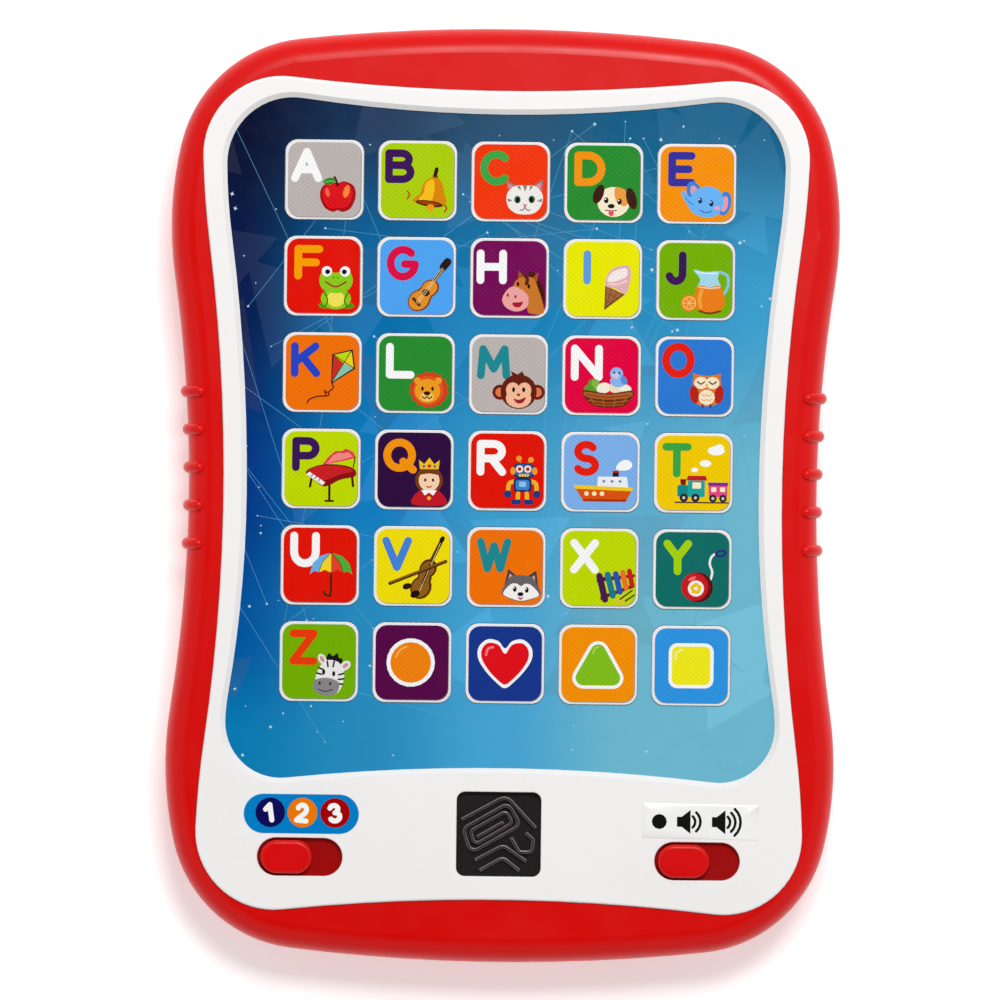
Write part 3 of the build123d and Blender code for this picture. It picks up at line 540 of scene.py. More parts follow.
# key: its picture, as (colour, kind, the numbers of each run); millimetres from the middle of the tile
PICTURES = {
    "a": [
        ("b00a12", "blob", ((3.4, -0.9), (5.2, -0.4), (7.6, -1.6), (8.1, -4.4), (6.8, -7.4), (4.7, -8.3),
         (3.5, -7.9), (2.2, -8.3), (0.1, -7.2), (-1.1, -4.4), (-0.6, -1.9), (1.5, -0.6))),
        ("e2121a", "blob", ((3.4, -1.3), (5.0, -0.8), (6.9, -1.9), (7.2, -4.4), (5.9, -6.9), (3.5, -7.3),
         (1.6, -7.4), (-0.2, -5.4), (-0.3, -2.5), (1.6, -1.0))),
        ("ff8a3c", "disc", (5.7, -3.0, 0.8, 1.7, -15)), ("ff6a4a", "disc", (0.8, -3.3, 0.5, 1.2, 15)),
        ("4a1410", "curve", (0.6, (3.4, -1.5), (3.1, -0.4), (2.6, 0.6))),
        ("2f8a2a", "blob", ((3.0, -0.4), (1.8, 0.5), (0.1, 0.0), (-0.2, -0.9), (1.4, -1.3))),
        ("7cc63c", "curve", (0.3, (2.6, -0.5), (1.4, -0.4), (0.3, -0.6))),
    ],
    "b": [
        ("3a1410", "line", (1.0, (4.9, 3.0), (4.3, 0.4))), ("7a2a14", "disc", (4.5, 0.6, 0.9, 0.6, 20)),
        ("e08a08", "blob", ((3.0, 0.6), (5.2, 0.7), (6.6, -1.2), (7.0, -3.6), (7.6, -5.4), (5.8, -6.5),
         (2.4, -6.6), (-1.0, -5.4), (-0.9, -4.6), (0.8, -3.2), (1.4, -1.0))),
        ("ffc61c", "blob", ((3.2, 0.2), (4.2, 0.1), (4.4, -2.4), (3.4, -5.4), (0.4, -4.9), (1.6, -3.2),
         (2.0, -1.0))), ("5a1e08", "disc", (3.1, -5.9, 3.6, 0.8, -8)),
        ("a8400c", "disc", (3.0, -5.8, 2.8, 0.45, -8)), ("f6a012", "disc", (3.4, -6.9, 1.0, 0.9)),
        ("c03c18", "curve", (0.4, (-2.6, -2.7), (-2.0, -3.7), (-2.6, -4.7)), (0.4, (7.0, -6.2),
         (7.6, -7.1), (7.0, -8.0))),
    ],
    "c": [
        ("8c8480", "area", ((-0.8, -1.9), (-1.0, 0.3), (1.9, -1.3)), ((8.2, -2.2), (8.3, 0.6),
         (5.6, -1.0))),
        ("f08c9c", "area", ((-0.4, -1.7), (-0.6, -0.4), (1.1, -1.4)), ((7.7, -1.9), (7.9, -0.1),
         (6.2, -1.1))),
        ("f6f2ee", "blob", ((3.7, -0.9), (6.6, -1.2), (8.3, -3.4), (7.9, -6.2), (6.2, -8.0), (3.7, -8.4),
         (1.2, -8.0), (-0.7, -6.2), (-0.9, -3.2), (0.9, -1.2))),
        ("8c8480", "area", ((3.1, -0.9), (4.3, -0.9), (3.8, -2.6)), ((1.6, -1.2), (2.5, -1.0),
         (2.7, -2.3)), ((5.0, -1.0), (5.8, -1.1), (4.9, -2.3)), ((-0.8, -4.2), (-0.6, -5.2), (0.6, -4.9)),
         ((8.2, -4.2), (8.0, -5.2), (6.8, -4.9))),
        ("2c7a3c", "disc", (1.8, -4.6, 0.85, 1.0), (5.5, -4.5, 0.85, 1.0)),
        ("101014", "disc", (1.9, -4.7, 0.5, 0.75), (5.4, -4.6, 0.5, 0.75)),
        ("e8607c", "area", ((3.1, -5.8), (4.4, -5.8), (3.75, -6.6))),
        ("50484a", "curve", (0.25, (2.5, -7.2), (3.2, -7.3), (3.75, -6.6), (4.4, -7.3), (5.1, -7.2))),
    ],
    "d": [
        ("fff0d0", "disc", (2.6, -4.9, 4.2, 3.9)),
        ("f0a040", "blob", ((3.2, -1.1), (5.6, -1.8), (6.7, -4.0), (5.6, -6.0), (3.6, -5.0),
         (2.8, -3.0))), ("3c1c10", "disc", (-1.3, -2.9, 1.3, 2.6, -20), (7.2, -4.0, 1.3, 2.9, 15)),
        ("201412", "disc", (0.7, -4.5, 0.6, 0.8), (4.1, -4.8, 0.6, 0.8)),
        ("ffffff", "disc", (0.5, -4.2, 0.2), (3.9, -4.5, 0.2)), ("201412", "disc", (2.0, -6.0, 0.9, 0.6)),
        ("6a3020", "curve", (0.25, (0.5, -7.0), (1.9, -7.2), (3.4, -7.1))),
        ("f0506c", "disc", (2.0, -7.8, 0.7, 0.8)),
    ],
    "e": [
        ("3c86dc", "disc", (-0.6, -2.2, 1.9, 3.0, 20), (7.2, -5.0, 1.7, 3.2, -10)),
        ("f0a0b4", "disc", (-0.5, -2.3, 1.0, 2.0, 20), (7.2, -5.1, 0.9, 2.1, -10)),
        ("6cb8fa", "blob", ((2.6, -0.6), (5.8, -1.6), (7.0, -4.6), (5.6, -7.8), (2.4, -8.6), (-0.8, -7.6),
         (-2.4, -5.4), (-4.0, -2.4), (-3.2, -1.9), (-1.6, -3.4), (-0.6, -1.8))),
        ("3c86dc", "curve", (0.25, (-3.0, -3.4), (-2.0, -4.6), (-0.9, -5.4))),
        ("102a60", "disc", (0.9, -4.3, 0.55, 0.8), (3.8, -5.0, 0.55, 0.8)),
        ("ffffff", "disc", (0.7, -4.0, 0.2), (3.6, -4.7, 0.2)), ("f8a4b8", "disc", (5.3, -6.2, 0.8, 0.5)),
        ("3a5cb0", "curve", (0.25, (1.0, -6.8), (2.4, -7.4), (3.9, -7.0))),
    ],
    "f": [
        ("4c9c10", "disc", (0.5, -7.6, 1.7, 0.8), (6.4, -7.6, 1.7, 0.8)),
        ("8ccf1c", "disc", (3.3, -5.8, 3.9, 2.8)), ("f6e85c", "disc", (3.3, -5.9, 2.3, 2.1)),
        ("2c6c08", "curve", (0.3, (0.2, -4.0), (1.2, -6.2), (0.6, -7.8)), (0.3, (6.6, -4.0), (5.5, -6.2),
         (6.2, -7.8))),
        ("8ccf1c", "blob", ((3.2, 0.8), (6.2, 1.6), (7.6, -0.8), (6.6, -3.4), (3.2, -4.4), (-0.1, -3.4),
         (-1.0, -0.8), (0.3, 1.6))), ("ffffff", "disc", (0.9, 1.2, 1.35), (5.6, 1.2, 1.35)),
        ("141414", "disc", (1.1, 1.1, 0.65), (5.4, 1.1, 0.65)),
        ("a01c1c", "curve", (0.4, (0.6, -1.5), (3.2, -2.8), (5.8, -1.5))),
        ("2c6c08", "disc", (2.7, -0.4, 0.2), (3.7, -0.4, 0.2)),
    ],
    "g": [
        ("3c2014", "line", (1.0, (2.6, -3.4), (7.2, 2.6))),
        ("2a1610", "line", (2.0, (6.9, 2.6), (8.0, 4.0))),
        ("8a4614", "disc", (0.8, -6.0, 3.2, 2.7, 40), (3.5, -2.9, 2.6, 2.2, 40), (2.2, -4.4, 2.1)),
        ("e8942c", "disc", (0.7, -6.0, 2.8, 2.3, 40), (3.4, -2.9, 2.2, 1.8, 40), (2.1, -4.5, 1.7)),
        ("4a2410", "disc", (2.5, -4.0, 1.0)), ("5c3014", "line", (0.8, (-0.7, -5.6), (0.8, -7.2))),
        ("fbe0a8", "line", (0.14, (0.0, -6.6), (6.6, 2.4)), (0.14, (0.4, -6.9), (7.0, 2.1))),
    ],
    "h": [
        ("4a1a0a", "curve", (1.6, (5.6, 1.0), (7.0, -0.6), (8.0, -3.0), (8.4, -5.6))),
        ("a8541c", "area", ((2.2, -0.4), (2.4, 1.9), (4.0, 0.2)), ((5.8, 0.0), (7.4, 1.6), (7.2, -0.9))),
        ("d07a2c", "blob", ((3.4, 0.3), (6.2, 0.0), (7.4, -2.6), (8.6, -6.2), (8.8, -9.0), (5.2, -9.0),
         (4.4, -7.2), (1.6, -6.0), (0.6, -3.4), (1.6, -0.8))),
        ("f4a8a4", "blob", ((0.2, -2.4), (2.6, -2.6), (4.8, -4.6), (4.6, -7.4), (2.0, -8.6), (-0.8, -7.6),
         (-1.8, -5.2))), ("8a3430", "disc", (-0.4, -4.4, 0.3, 0.45), (1.6, -4.8, 0.3, 0.45)),
        ("b0182c", "blob", ((0.8, -6.4), (2.6, -6.2), (3.6, -6.0), (2.8, -7.4), (1.4, -7.4))),
        ("201008", "disc", (2.2, -1.5, 0.35, 0.6), (5.0, -2.1, 0.35, 0.6)),
        ("5a2410", "curve", (0.9, (3.8, 1.0), (4.6, -0.2), (4.4, -1.4))),
    ],
    "i": [
        ("7a4a2c", "area", ((0.5, -8.0), (0.7, -1.6), (5.8, -3.9))),
        ("a8683c", "area", ((0.8, -7.1), (1.1, -2.0), (5.1, -3.8))),
        ("7a4a2c", "line", (0.2, (1.0, -3.6), (3.6, -4.8)), (0.2, (0.9, -5.4), (2.3, -6.1)),
         (0.2, (2.4, -2.5), (1.0, -6.6)), (0.2, (4.0, -3.2), (1.6, -6.9))),
        ("e8b4b8", "blob", ((0.6, -1.0), (1.3, 1.2), (3.0, 3.0), (6.6, 3.6), (7.3, 1.0), (6.9, -1.6),
         (6.0, -3.8), (4.4, -3.0), (2.6, -2.2), (1.2, -2.0))),
        ("fbeeec", "blob", ((1.2, -0.4), (2.0, 1.4), (3.6, 2.4), (6.0, 2.9), (6.4, 1.2), (5.2, 0.2),
         (3.0, -0.6))), ("f6d4d4", "curve", (0.5, (1.6, -1.1), (3.6, -1.3), (6.2, -0.4))),
    ],
    "j": [
        ("8ccbe8", "curve", (0.7, (6.2, 2.2), (8.2, 1.2), (8.3, -1.6), (6.9, -4.0))),
        ("a8dcf0", "blob", ((-0.6, 2.7), (2.4, 2.2), (5.9, 2.3), (5.7, 0.4), (6.6, -2.4), (3.4, -3.0),
         (0.2, -2.4), (1.2, 0.2))),
        ("f08014", "blob", ((0.6, -1.4), (3.6, -1.7), (6.4, -1.5), (7.5, -4.6), (6.9, -7.4), (3.6, -8.2),
         (0.4, -7.4), (-0.2, -4.6))), ("f8a83c", "curve", (0.9, (1.6, -2.6), (1.0, -4.8), (1.4, -6.8))),
        ("fde0b0", "curve", (0.3, (0.9, -1.7), (3.6, -2.0), (6.2, -1.8))),
        ("e6f6fc", "curve", (0.35, (0.2, 2.2), (2.6, 1.8), (5.4, 1.9))),
        ("7a3410", "curve", (0.5, (1.0, -7.9), (3.6, -8.5), (6.4, -7.9))),
        ("f07c0c", "disc", (-1.6, -5.9, 2.2)), ("fbc878", "disc", (-1.6, -5.9, 1.8)),
        ("f48c1c", "disc", (-1.6, -5.9, 1.5)),
        ("fbc878", "line", (0.22, (-3.1, -5.9), (-0.1, -5.9)), (0.22, (-2.35, -4.6), (-0.85, -7.2)),
         (0.22, (-2.35, -7.2), (-0.85, -4.6))),
    ],
    "k": [
        ("5a1a10", "curve", (0.35, (2.5, -2.5), (2.9, -4.0), (1.8, -5.0), (1.6, -6.0), (-1.0, -6.2),
         (-3.2, -7.0), (-3.8, -8.0))),
        ("1c1c20", "area", ((7.8, 6.0), (2.5, 4.7), (2.3, -3.0), (8.5, 1.0))),
        ("c4e010", "area", ((7.5, 5.6), (2.9, 4.5), (5.5, 2.4))),
        ("f4d81c", "area", ((7.5, 5.6), (8.1, 1.2), (5.5, 2.4))),
        ("d03020", "area", ((2.9, 4.5), (2.5, -2.5), (5.5, 2.4))),
        ("8cc8b4", "area", ((8.1, 1.2), (2.5, -2.5), (5.5, 2.4))),
        ("1c1c20", "line", (0.2, (7.5, 5.6), (2.5, -2.5)), (0.2, (2.9, 4.5), (8.1, 1.2))),
        ("a01c14", "area", ((0.4, -4.4), (2.6, -5.6), (2.4, -4.2), (0.8, -6.0))),
    ],
    "l": [
        ("d8401c", "area", (*[(3.6 + (5.2 if i % 2 else 4.7) * math.cos(i * math.pi / 16),
         -4.2 + (4.8 if i % 2 else 4.3) * math.sin(i * math.pi / 16)) for i in range(32)],)),
        ("e8581c", "disc", (3.4, -4.4, 4.0, 3.8)),
        ("f4a020", "disc", (3.2, -4.5, 3.3, 3.1), (0.6, -1.9, 0.9), (6.0, -1.8, 0.9)),
        ("1c0c08", "disc", (1.9, -3.9, 0.35, 0.55), (4.5, -3.9, 0.35, 0.55)),
        ("ffd060", "disc", (3.1, -6.0, 1.8, 1.2)), ("3c1408", "disc", (3.1, -5.1, 0.9, 0.55)),
        ("5c1c08", "curve", (0.3, (1.8, -5.9), (2.5, -6.5), (3.1, -5.9), (3.7, -6.5), (4.4, -5.9))),
    ],
    "m": [
        ("6a1e10", "disc", (-2.1, -4.6, 2.0), (7.5, -4.5, 2.0)),
        ("e87a4c", "disc", (-2.1, -4.6, 1.2), (7.5, -4.5, 1.2)),
        ("6a1e10", "disc", (2.7, -4.4, 4.7, 4.5)),
        ("6a1e10", "area", ((1.2, -0.8), (0.6, 0.9), (2.4, 0.0), (3.6, 0.9), (4.4, -0.8))),
        ("fcc09c", "disc", (1.2, -4.0, 1.8, 2.0), (4.2, -4.0, 1.8, 2.0), (2.7, -6.1, 3.3, 2.5)),
        ("180c08", "disc", (1.4, -3.9, 0.4, 0.65), (4.0, -3.9, 0.4, 0.65)),
        ("8a3c28", "disc", (2.7, -5.2, 0.5, 0.35)),
        ("a0202c", "blob", ((1.4, -6.2), (2.8, -6.5), (4.6, -5.8), (3.8, -7.2), (2.4, -7.4))),
    ],
    "n": [
        ("5c9c2c", "disc", (-1.8, -2.6, 1.6, 1.9, 30)), ("88bc44", "disc", (-1.5, -2.3, 1.0, 1.3, 30)),
        ("5c9c2c", "disc", (-3.2, -3.4, 1.3, 1.0, 10)), ("fbf4e4", "disc", (0.6, -3.2, 1.9, 1.4, 15)),
        ("f6e4c4", "disc", (3.6, -3.2, 1.8, 1.3, -10)), ("fbf4e4", "disc", (6.2, -3.3, 1.6, 1.1, -10)),
        ("8cb8f4", "disc", (4.3, -1.4, 2.1, 1.6), (3.9, 0.5, 1.7)), ("b8d4fa", "disc", (3.6, 0.1, 1.0)),
        ("f4a020", "area", ((3.2, -0.1), (2.7, -0.9), (3.8, -0.6))),
        ("141820", "disc", (3.3, 0.8, 0.28), (4.6, 0.7, 0.28)),
        ("5c94e0", "disc", (5.8, -1.2, 0.8, 1.2, 25)),
        ("6a2c10", "blob", ((-4.6, -3.8), (1.8, -4.6), (8.2, -3.8), (7.4, -6.4), (5.0, -8.1),
         (-0.8, -8.1), (-3.8, -6.4))),
        ("b4602c", "blob", ((-4.2, -4.2), (1.8, -4.9), (7.8, -4.2), (7.0, -5.6), (1.8, -6.2),
         (-3.6, -5.6))), ("7a3c18", "curve", (0.25, (-3.9, -4.9), (1.8, -5.6), (7.4, -4.9))),
        ("a85824", "curve", (0.4, (-3.2, -6.4), (1.8, -7.0), (6.8, -6.4)), (0.35, (-1.6, -7.4),
         (2.0, -7.7), (5.4, -7.4))),
        ("b4602c", "curve", (0.25, (-2.6, -5.8), (-1.8, -7.4)), (0.25, (0.4, -6.2), (0.8, -7.9)),
         (0.25, (3.6, -6.2), (3.2, -7.9)), (0.25, (6.4, -5.8), (5.6, -7.4))),
    ],
    "o": [
        ("e8781c", "area", ((-0.5, 0.9), (1.4, 0.4), (3.2, 0.1), (5.0, 0.4), (6.9, 0.9), (6.2, -1.6),
         (0.2, -1.6))),
        ("e8781c", "blob", ((0.0, 0.2), (3.2, 0.2), (6.4, 0.2), (6.8, -3.0), (6.2, -6.6), (3.2, -7.6),
         (0.2, -6.6), (-0.4, -3.0))),
        ("c02418", "disc", (0.0, -4.6, 1.2, 2.4, 8), (6.4, -4.6, 1.2, 2.4, -8)),
        ("fbeccc", "disc", (1.7, -1.6, 1.8, 1.6), (4.7, -1.6, 1.8, 1.6)),
        ("5c2c10", "curve", (0.35, (0.8, -1.3), (1.7, -1.9), (2.6, -1.3)), (0.35, (3.8, -1.3),
         (4.7, -1.9), (5.6, -1.3))), ("f4b020", "area", ((2.8, -1.9), (3.6, -1.9), (3.2, -2.9))),
        ("fbeccc", "disc", (3.2, -5.3, 2.1, 2.0)),
        ("5c2c10", "line", (0.45, (2.2, -7.2), (2.2, -7.9)), (0.45, (4.2, -7.2), (4.2, -7.9))),
        ("e8a860", "curve", (0.25, (2.0, -4.6), (2.6, -5.0), (3.2, -4.6), (3.8, -5.0), (4.4, -4.6)),
         (0.25, (2.0, -5.8), (2.6, -6.2), (3.2, -5.8), (3.8, -6.2), (4.4, -5.8))),
    ],
    "p": [
        ("4a0808", "line", (0.6, (-2.4, -2.4), (-2.8, -4.6)), (0.6, (2.2, -4.4), (2.2, -8.2)),
         (0.6, (8.0, -2.0), (8.3, -4.4)), (0.5, (1.2, -8.3), (3.2, -8.3))),
        ("e8404c", "area", ((0.2, 0.9), (1.8, 3.0), (3.6, 4.6), (5.4, 4.6), (6.4, 5.3), (8.2, 4.4),
         (9.1, 2.9), (6.4, 2.2), (3.6, 1.6))),
        ("fa8c84", "area", ((1.2, 1.2), (3.0, 3.4), (4.4, 4.2), (5.6, 4.0), (7.0, 4.4), (8.2, 3.2),
         (5.6, 2.4), (3.0, 1.8))), ("4a0808", "line", (0.3, (8.7, 2.8), (8.3, 0.4))),
        ("8c1014", "blob", ((-4.0, -1.0), (-1.0, 0.8), (3.2, 1.2), (7.4, 0.6), (9.0, -0.6), (8.6, -2.0),
         (5.0, -2.8), (1.2, -4.6), (-1.2, -3.4))),
        ("d02024", "blob", ((-3.2, -0.8), (-0.8, 0.6), (3.2, 0.8), (6.8, 0.3), (8.2, -0.6), (4.6, -1.6),
         (1.0, -3.0), (-1.2, -2.0))),
        ("fbf6f2", "area", ((-3.8, -1.5), (0.4, -4.3), (1.1, -3.5), (-3.0, -0.8))),
        ("18181c", "line", (0.22, (-2.5, -2.0), (-2.1, -1.5)), (0.22, (-1.6, -2.6), (-1.2, -2.1)),
         (0.22, (-0.7, -3.2), (-0.3, -2.7))),
    ],
    "q": [
        ("7a3c14", "disc", (3.9, -2.7, 3.6, 3.5)),
        ("c81828", "blob", ((1.4, -5.4), (6.4, -5.4), (8.2, -8.9), (-0.4, -8.9))),
        ("ffd8b4", "disc", (3.9, -2.7, 2.7, 2.8)),
        ("7a3c14", "blob", ((1.3, -1.2), (3.9, -0.9), (6.5, -1.2), (6.0, 0.5), (3.9, 1.0), (1.8, 0.5))),
        ("f6c41c", "area", ((1.5, 0.2), (1.2, 2.6), (2.6, 1.5), (3.9, 3.2), (5.2, 1.5), (6.6, 2.6),
         (6.3, 0.2))), ("d01c2c", "disc", (3.9, 1.0, 0.45)),
        ("2c5cc8", "disc", (2.5, 0.9, 0.35), (5.3, 0.9, 0.35)),
        ("3c1c10", "disc", (2.9, -2.6, 0.3, 0.45), (4.9, -2.6, 0.3, 0.45)),
        ("c8283c", "curve", (0.3, (3.3, -4.2), (3.9, -4.5), (4.5, -4.2))),
        ("ffffff", "area", ((1.9, -5.2), (5.9, -5.2), (5.0, -6.6), (3.9, -5.8), (2.8, -6.6))),
        ("f6c41c", "disc", (3.9, -7.3, 0.5)),
    ],
    "r": [
        ("e87820", "line", (0.35, (3.1, 3.2), (3.5, 1.8)), (0.35, (6.0, 2.9), (5.2, 1.8))),
        ("f4a030", "disc", (3.0, 3.2, 0.75), (6.1, 2.9, 0.75)),
        ("1c2c5c", "box", (4.3, 0.1, 5.4, 3.8, 1.2)), ("2c64b4", "box", (4.3, 0.2, 4.6, 3.0, 0.9)),
        ("f4a030", "disc", (1.5, 0.0, 0.7, 1.0), (7.1, 0.0, 0.7, 1.0)),
        ("fbf0d8", "disc", (3.2, 0.5, 0.95), (5.3, 0.5, 0.95)),
        ("c01818", "disc", (3.2, 0.5, 0.5), (5.3, 0.5, 0.5)),
        ("f4d060", "box", (4.3, -1.1, 2.6, 0.7, 0.2)),
        ("1c2c5c", "line", (0.12, (3.6, -0.8), (3.6, -1.4)), (0.12, (4.3, -0.8), (4.3, -1.4)),
         (0.12, (5.0, -0.8), (5.0, -1.4))),
        ("f0b830", "curve", (1.1, (2.2, -2.6), (0.6, -3.2), (0.3, -5.0)), (1.1, (6.0, -2.6), (7.4, -3.2),
         (7.6, -5.0))), ("1c3c80", "disc", (0.2, -6.0, 1.0), (7.7, -6.0, 1.0)),
        ("1c2c5c", "box", (4.0, -3.6, 4.6, 3.6, 0.8)), ("3c84d0", "box", (4.0, -3.6, 3.6, 2.6, 0.6)),
        ("8cc8f0", "box", (4.0, -3.4, 1.8, 1.4, 0.3)),
        ("f0b830", "line", (1.1, (2.9, -5.8), (2.8, -7.2)), (1.1, (5.1, -5.8), (5.2, -7.2))),
        ("1c3c80", "box", (2.4, -8.0, 2.5, 1.3, 0.5), (5.6, -8.0, 2.5, 1.3, 0.5)),
    ],
    "s": [
        ("ffffff", "blob", ((4.0, 0.9), (5.0, 2.6), (6.8, 3.2), (8.2, 2.2), (7.6, 0.8), (5.6, 0.4))),
        ("181c28", "box", (4.0, -0.7, 1.6, 1.8, 0.2)), ("d01c2c", "box", (4.0, 0.1, 1.7, 0.5, 0.1)),
        ("f6f6f4", "area", ((-0.6, -1.2), (6.9, -1.2), (7.3, -4.2), (-0.8, -4.2))),
        ("4c90d8", "line", (0.7, (0.9, -2.4), (1.0, -2.4)), (0.7, (3.0, -2.4), (3.1, -2.4)),
         (0.7, (5.1, -2.4), (5.2, -2.4))),
        ("f8d020", "area", ((-6.9, -3.4), (8.6, -4.0), (8.0, -5.0), (-6.2, -4.6))),
        ("e0540c", "area", ((-6.3, -4.4), (8.1, -4.9), (6.6, -7.7), (-4.2, -7.7))),
        ("a8300c", "line", (0.5, (-4.2, -7.3), (6.6, -7.3))),
        ("fff0c0", "disc", (-3.5, -5.6, 0.6), (-1.5, -5.6, 0.6), (0.5, -5.6, 0.6)),
    ],
    "t": [
        ("ffffff", "disc", (5.8, 5.8, 2.2, 1.2), (6.6, 6.5, 1.2, 1.0), (3.1, 2.5, 1.5, 0.9),
         (0.3, 0.8, 0.9, 0.6)), ("5c4038", "line", (0.4, (-4.6, -7.6), (9.0, -7.6))),
        ("8a1418", "area", ((-3.2, -3.2), (-3.4, -1.6), (-1.8, -1.6), (-2.0, -3.2))),
        ("148c90", "box", (-2.2, -4.6, 3.8, 3.0, 0.5)), ("1ca8a4", "box", (0.8, -4.0, 4.4, 4.4, 0.4)),
        ("c81c28", "area", ((-1.8, -1.9), (-1.4, -0.7), (3.2, -0.7), (3.6, -1.9))),
        ("fff4c8", "box", (0.9, -3.2, 2.2, 1.6, 0.2)), ("e84c8c", "box", (6.4, -4.5, 4.8, 3.3, 0.4)),
        ("7c2c9c", "box", (6.4, -2.8, 5.2, 0.8, 0.2)),
        ("fff4c8", "box", (5.3, -4.2, 1.3, 1.2, 0.2), (7.6, -4.2, 1.3, 1.2, 0.2)),
        ("28282c", "disc", (-2.4, -6.4, 1.1), (0.6, -6.4, 1.1), (5.1, -6.5, 1.0), (7.7, -6.5, 1.0)),
        ("d0d0d4", "disc", (-2.4, -6.4, 0.4), (0.6, -6.4, 0.4), (5.1, -6.5, 0.4), (7.7, -6.5, 0.4)),
    ],
    "u": [
        ("3a2410", "curve", (0.5, (2.9, 3.3), (2.9, -6.8), (2.3, -7.8), (1.3, -7.5), (1.2, -6.8))),
        ("6cb4ec", "area", ((2.9, 3.2), (0.2, 2.4), (-1.8, 0.5), (-2.6, -2.4), (-1.4, -1.5), (-0.2, -1.9),
         (0.6, 0.6))),
        ("f8dc28", "area", ((2.9, 3.2), (0.6, 0.6), (-0.2, -1.9), (1.2, -1.2), (2.9, -1.9))),
        ("e8442c", "area", ((2.9, 3.2), (2.9, -1.9), (4.6, -1.2), (6.0, -1.9), (5.2, 0.6))),
        ("4cb43c", "area", ((2.9, 3.2), (5.2, 0.6), (6.0, -1.9), (7.2, -1.5), (8.4, -2.4), (7.6, 0.5),
         (5.6, 2.4))),
        ("3a2410", "curve", (0.15, (2.9, 3.2), (0.7, 0.8), (-0.2, -1.9)), (0.15, (2.9, 3.2), (5.1, 0.8),
         (6.0, -1.9))),
    ],
    "v": [
        ("4a2c14", "line", (1.0, (3.4, -1.3), (7.1, 6.2))), ("2a160c", "disc", (7.4, 6.9, 1.0, 0.6, 60)),
        ("5a3210", "disc", (2.1, -5.5, 3.1, 2.7, 60), (3.9, -0.6, 2.6, 2.2, 60), (3.0, -3.0, 1.9, 2.0)),
        ("946018", "disc", (2.0, -5.5, 2.6, 2.2, 60), (3.8, -0.7, 2.1, 1.7, 60), (2.9, -3.0, 1.4, 1.8)),
        ("1c0c08", "line", (0.7, (2.6, -4.4), (4.6, 0.4))),
        ("f4e0b0", "line", (0.14, (1.8, -6.4), (7.0, 6.0))),
        ("1c0c08", "disc", (0.6, -7.2, 1.3, 0.9, 30)),
        ("4a2c14", "line", (0.9, (-5.9, -4.5), (8.4, 1.3))),
        ("946018", "line", (0.35, (-5.8, -4.3), (8.4, 1.5))),
        ("2a160c", "disc", (-1.5, -5.2, 1.2, 0.8, 20)),
    ],
    "w": [
        ("4a4246", "area", ((-0.4, -4.6), (0.6, -0.4), (3.2, -2.6)), ((8.4, -5.0), (7.8, -0.8),
         (5.0, -2.6))),
        ("d8a8a0", "area", ((0.5, -3.4), (1.0, -1.6), (2.2, -2.6)), ((7.6, -3.8), (7.4, -2.0),
         (6.2, -2.8))),
        ("6c6468", "blob", ((4.0, -2.0), (6.8, -2.6), (8.4, -5.0), (8.9, -7.0), (6.6, -8.3), (4.0, -8.8),
         (1.4, -8.3), (-1.0, -6.8), (-0.4, -4.8), (1.2, -2.4))),
        ("fbf8f6", "blob", ((3.9, -4.8), (5.0, -4.2), (6.6, -4.6), (8.6, -7.0), (6.4, -8.1), (4.0, -8.6),
         (1.6, -8.1), (-0.7, -6.8), (1.2, -4.4), (2.8, -4.2))),
        ("1c1418", "disc", (2.3, -5.6, 0.5, 0.75), (5.4, -5.8, 0.5, 0.75)),
        ("ffffff", "disc", (2.1, -5.3, 0.2), (5.2, -5.5, 0.2)),
        ("1c1418", "disc", (3.8, -6.9, 0.8, 0.55)),
        ("d84860", "blob", ((3.0, -7.6), (3.8, -7.8), (4.6, -7.6), (3.8, -8.4))),
    ],
    "x": [
        ("6a1414", "area", ((-0.6, -2.4), (9.2, -1.4), (9.2, -2.2), (-0.6, -3.6)), ((0.4, -7.2),
         (9.2, -3.8), (9.2, -4.8), (0.4, -8.2))), ("4a1c50", "line", (1.7, (0.1, -2.0), (1.6, -8.0))),
        ("1c7c90", "line", (1.6, (2.2, -1.6), (3.6, -7.0))),
        ("2c54b4", "line", (1.5, (4.3, -1.4), (5.4, -6.0))),
        ("f07828", "line", (1.4, (6.1, -1.0), (7.0, -5.0))),
        ("d02020", "line", (1.3, (7.8, -0.6), (8.5, -4.2))),
        ("4a2c14", "line", (0.4, (4.8, -8.4), (8.6, -5.6)), (0.4, (6.2, -8.8), (9.1, -6.8))),
        ("e8c83c", "disc", (4.9, -8.3, 0.6), (6.2, -8.6, 0.6)),
    ],
    "y": [
        ("f4f4f4", "curve", (0.6, (4.4, -3.4), (5.2, -0.8), (4.5, 1.4), (5.0, 3.4), (6.6, 4.4))),
        ("2c2c80", "disc", (7.3, 4.2, 1.6, 1.0, 15)), ("14706c", "disc", (7.3, 4.2, 0.9, 0.45, 15)),
        ("4a0c10", "disc", (1.5, -4.6, 3.9, 3.9)), ("7a1014", "disc", (1.1, -4.5, 3.8, 3.8)),
        ("d01c24", "disc", (0.7, -4.5, 3.5, 3.6)), ("f47070", "disc", (0.0, -2.4, 1.1, 0.45, 25)),
        ("fbf8f4", "disc", (1.0, -4.9, 2.1)),
        ("f0c81c", "area", (*[(1.0 + 1.6 * math.sin(i * math.tau / 5),
         -4.9 + 1.6 * math.cos(i * math.tau / 5)) for i in range(5)],)), ("fbf8f4", "disc", (1.0, -4.9, 0.5)),
    ],
    "z": [
        ("18181c", "blob", ((1.8, 0.2), (2.6, 2.2), (3.6, 1.4), (4.8, 2.2), (5.2, 1.0), (6.2, 0.6),
         (5.4, -1.0), (3.4, -0.8))),
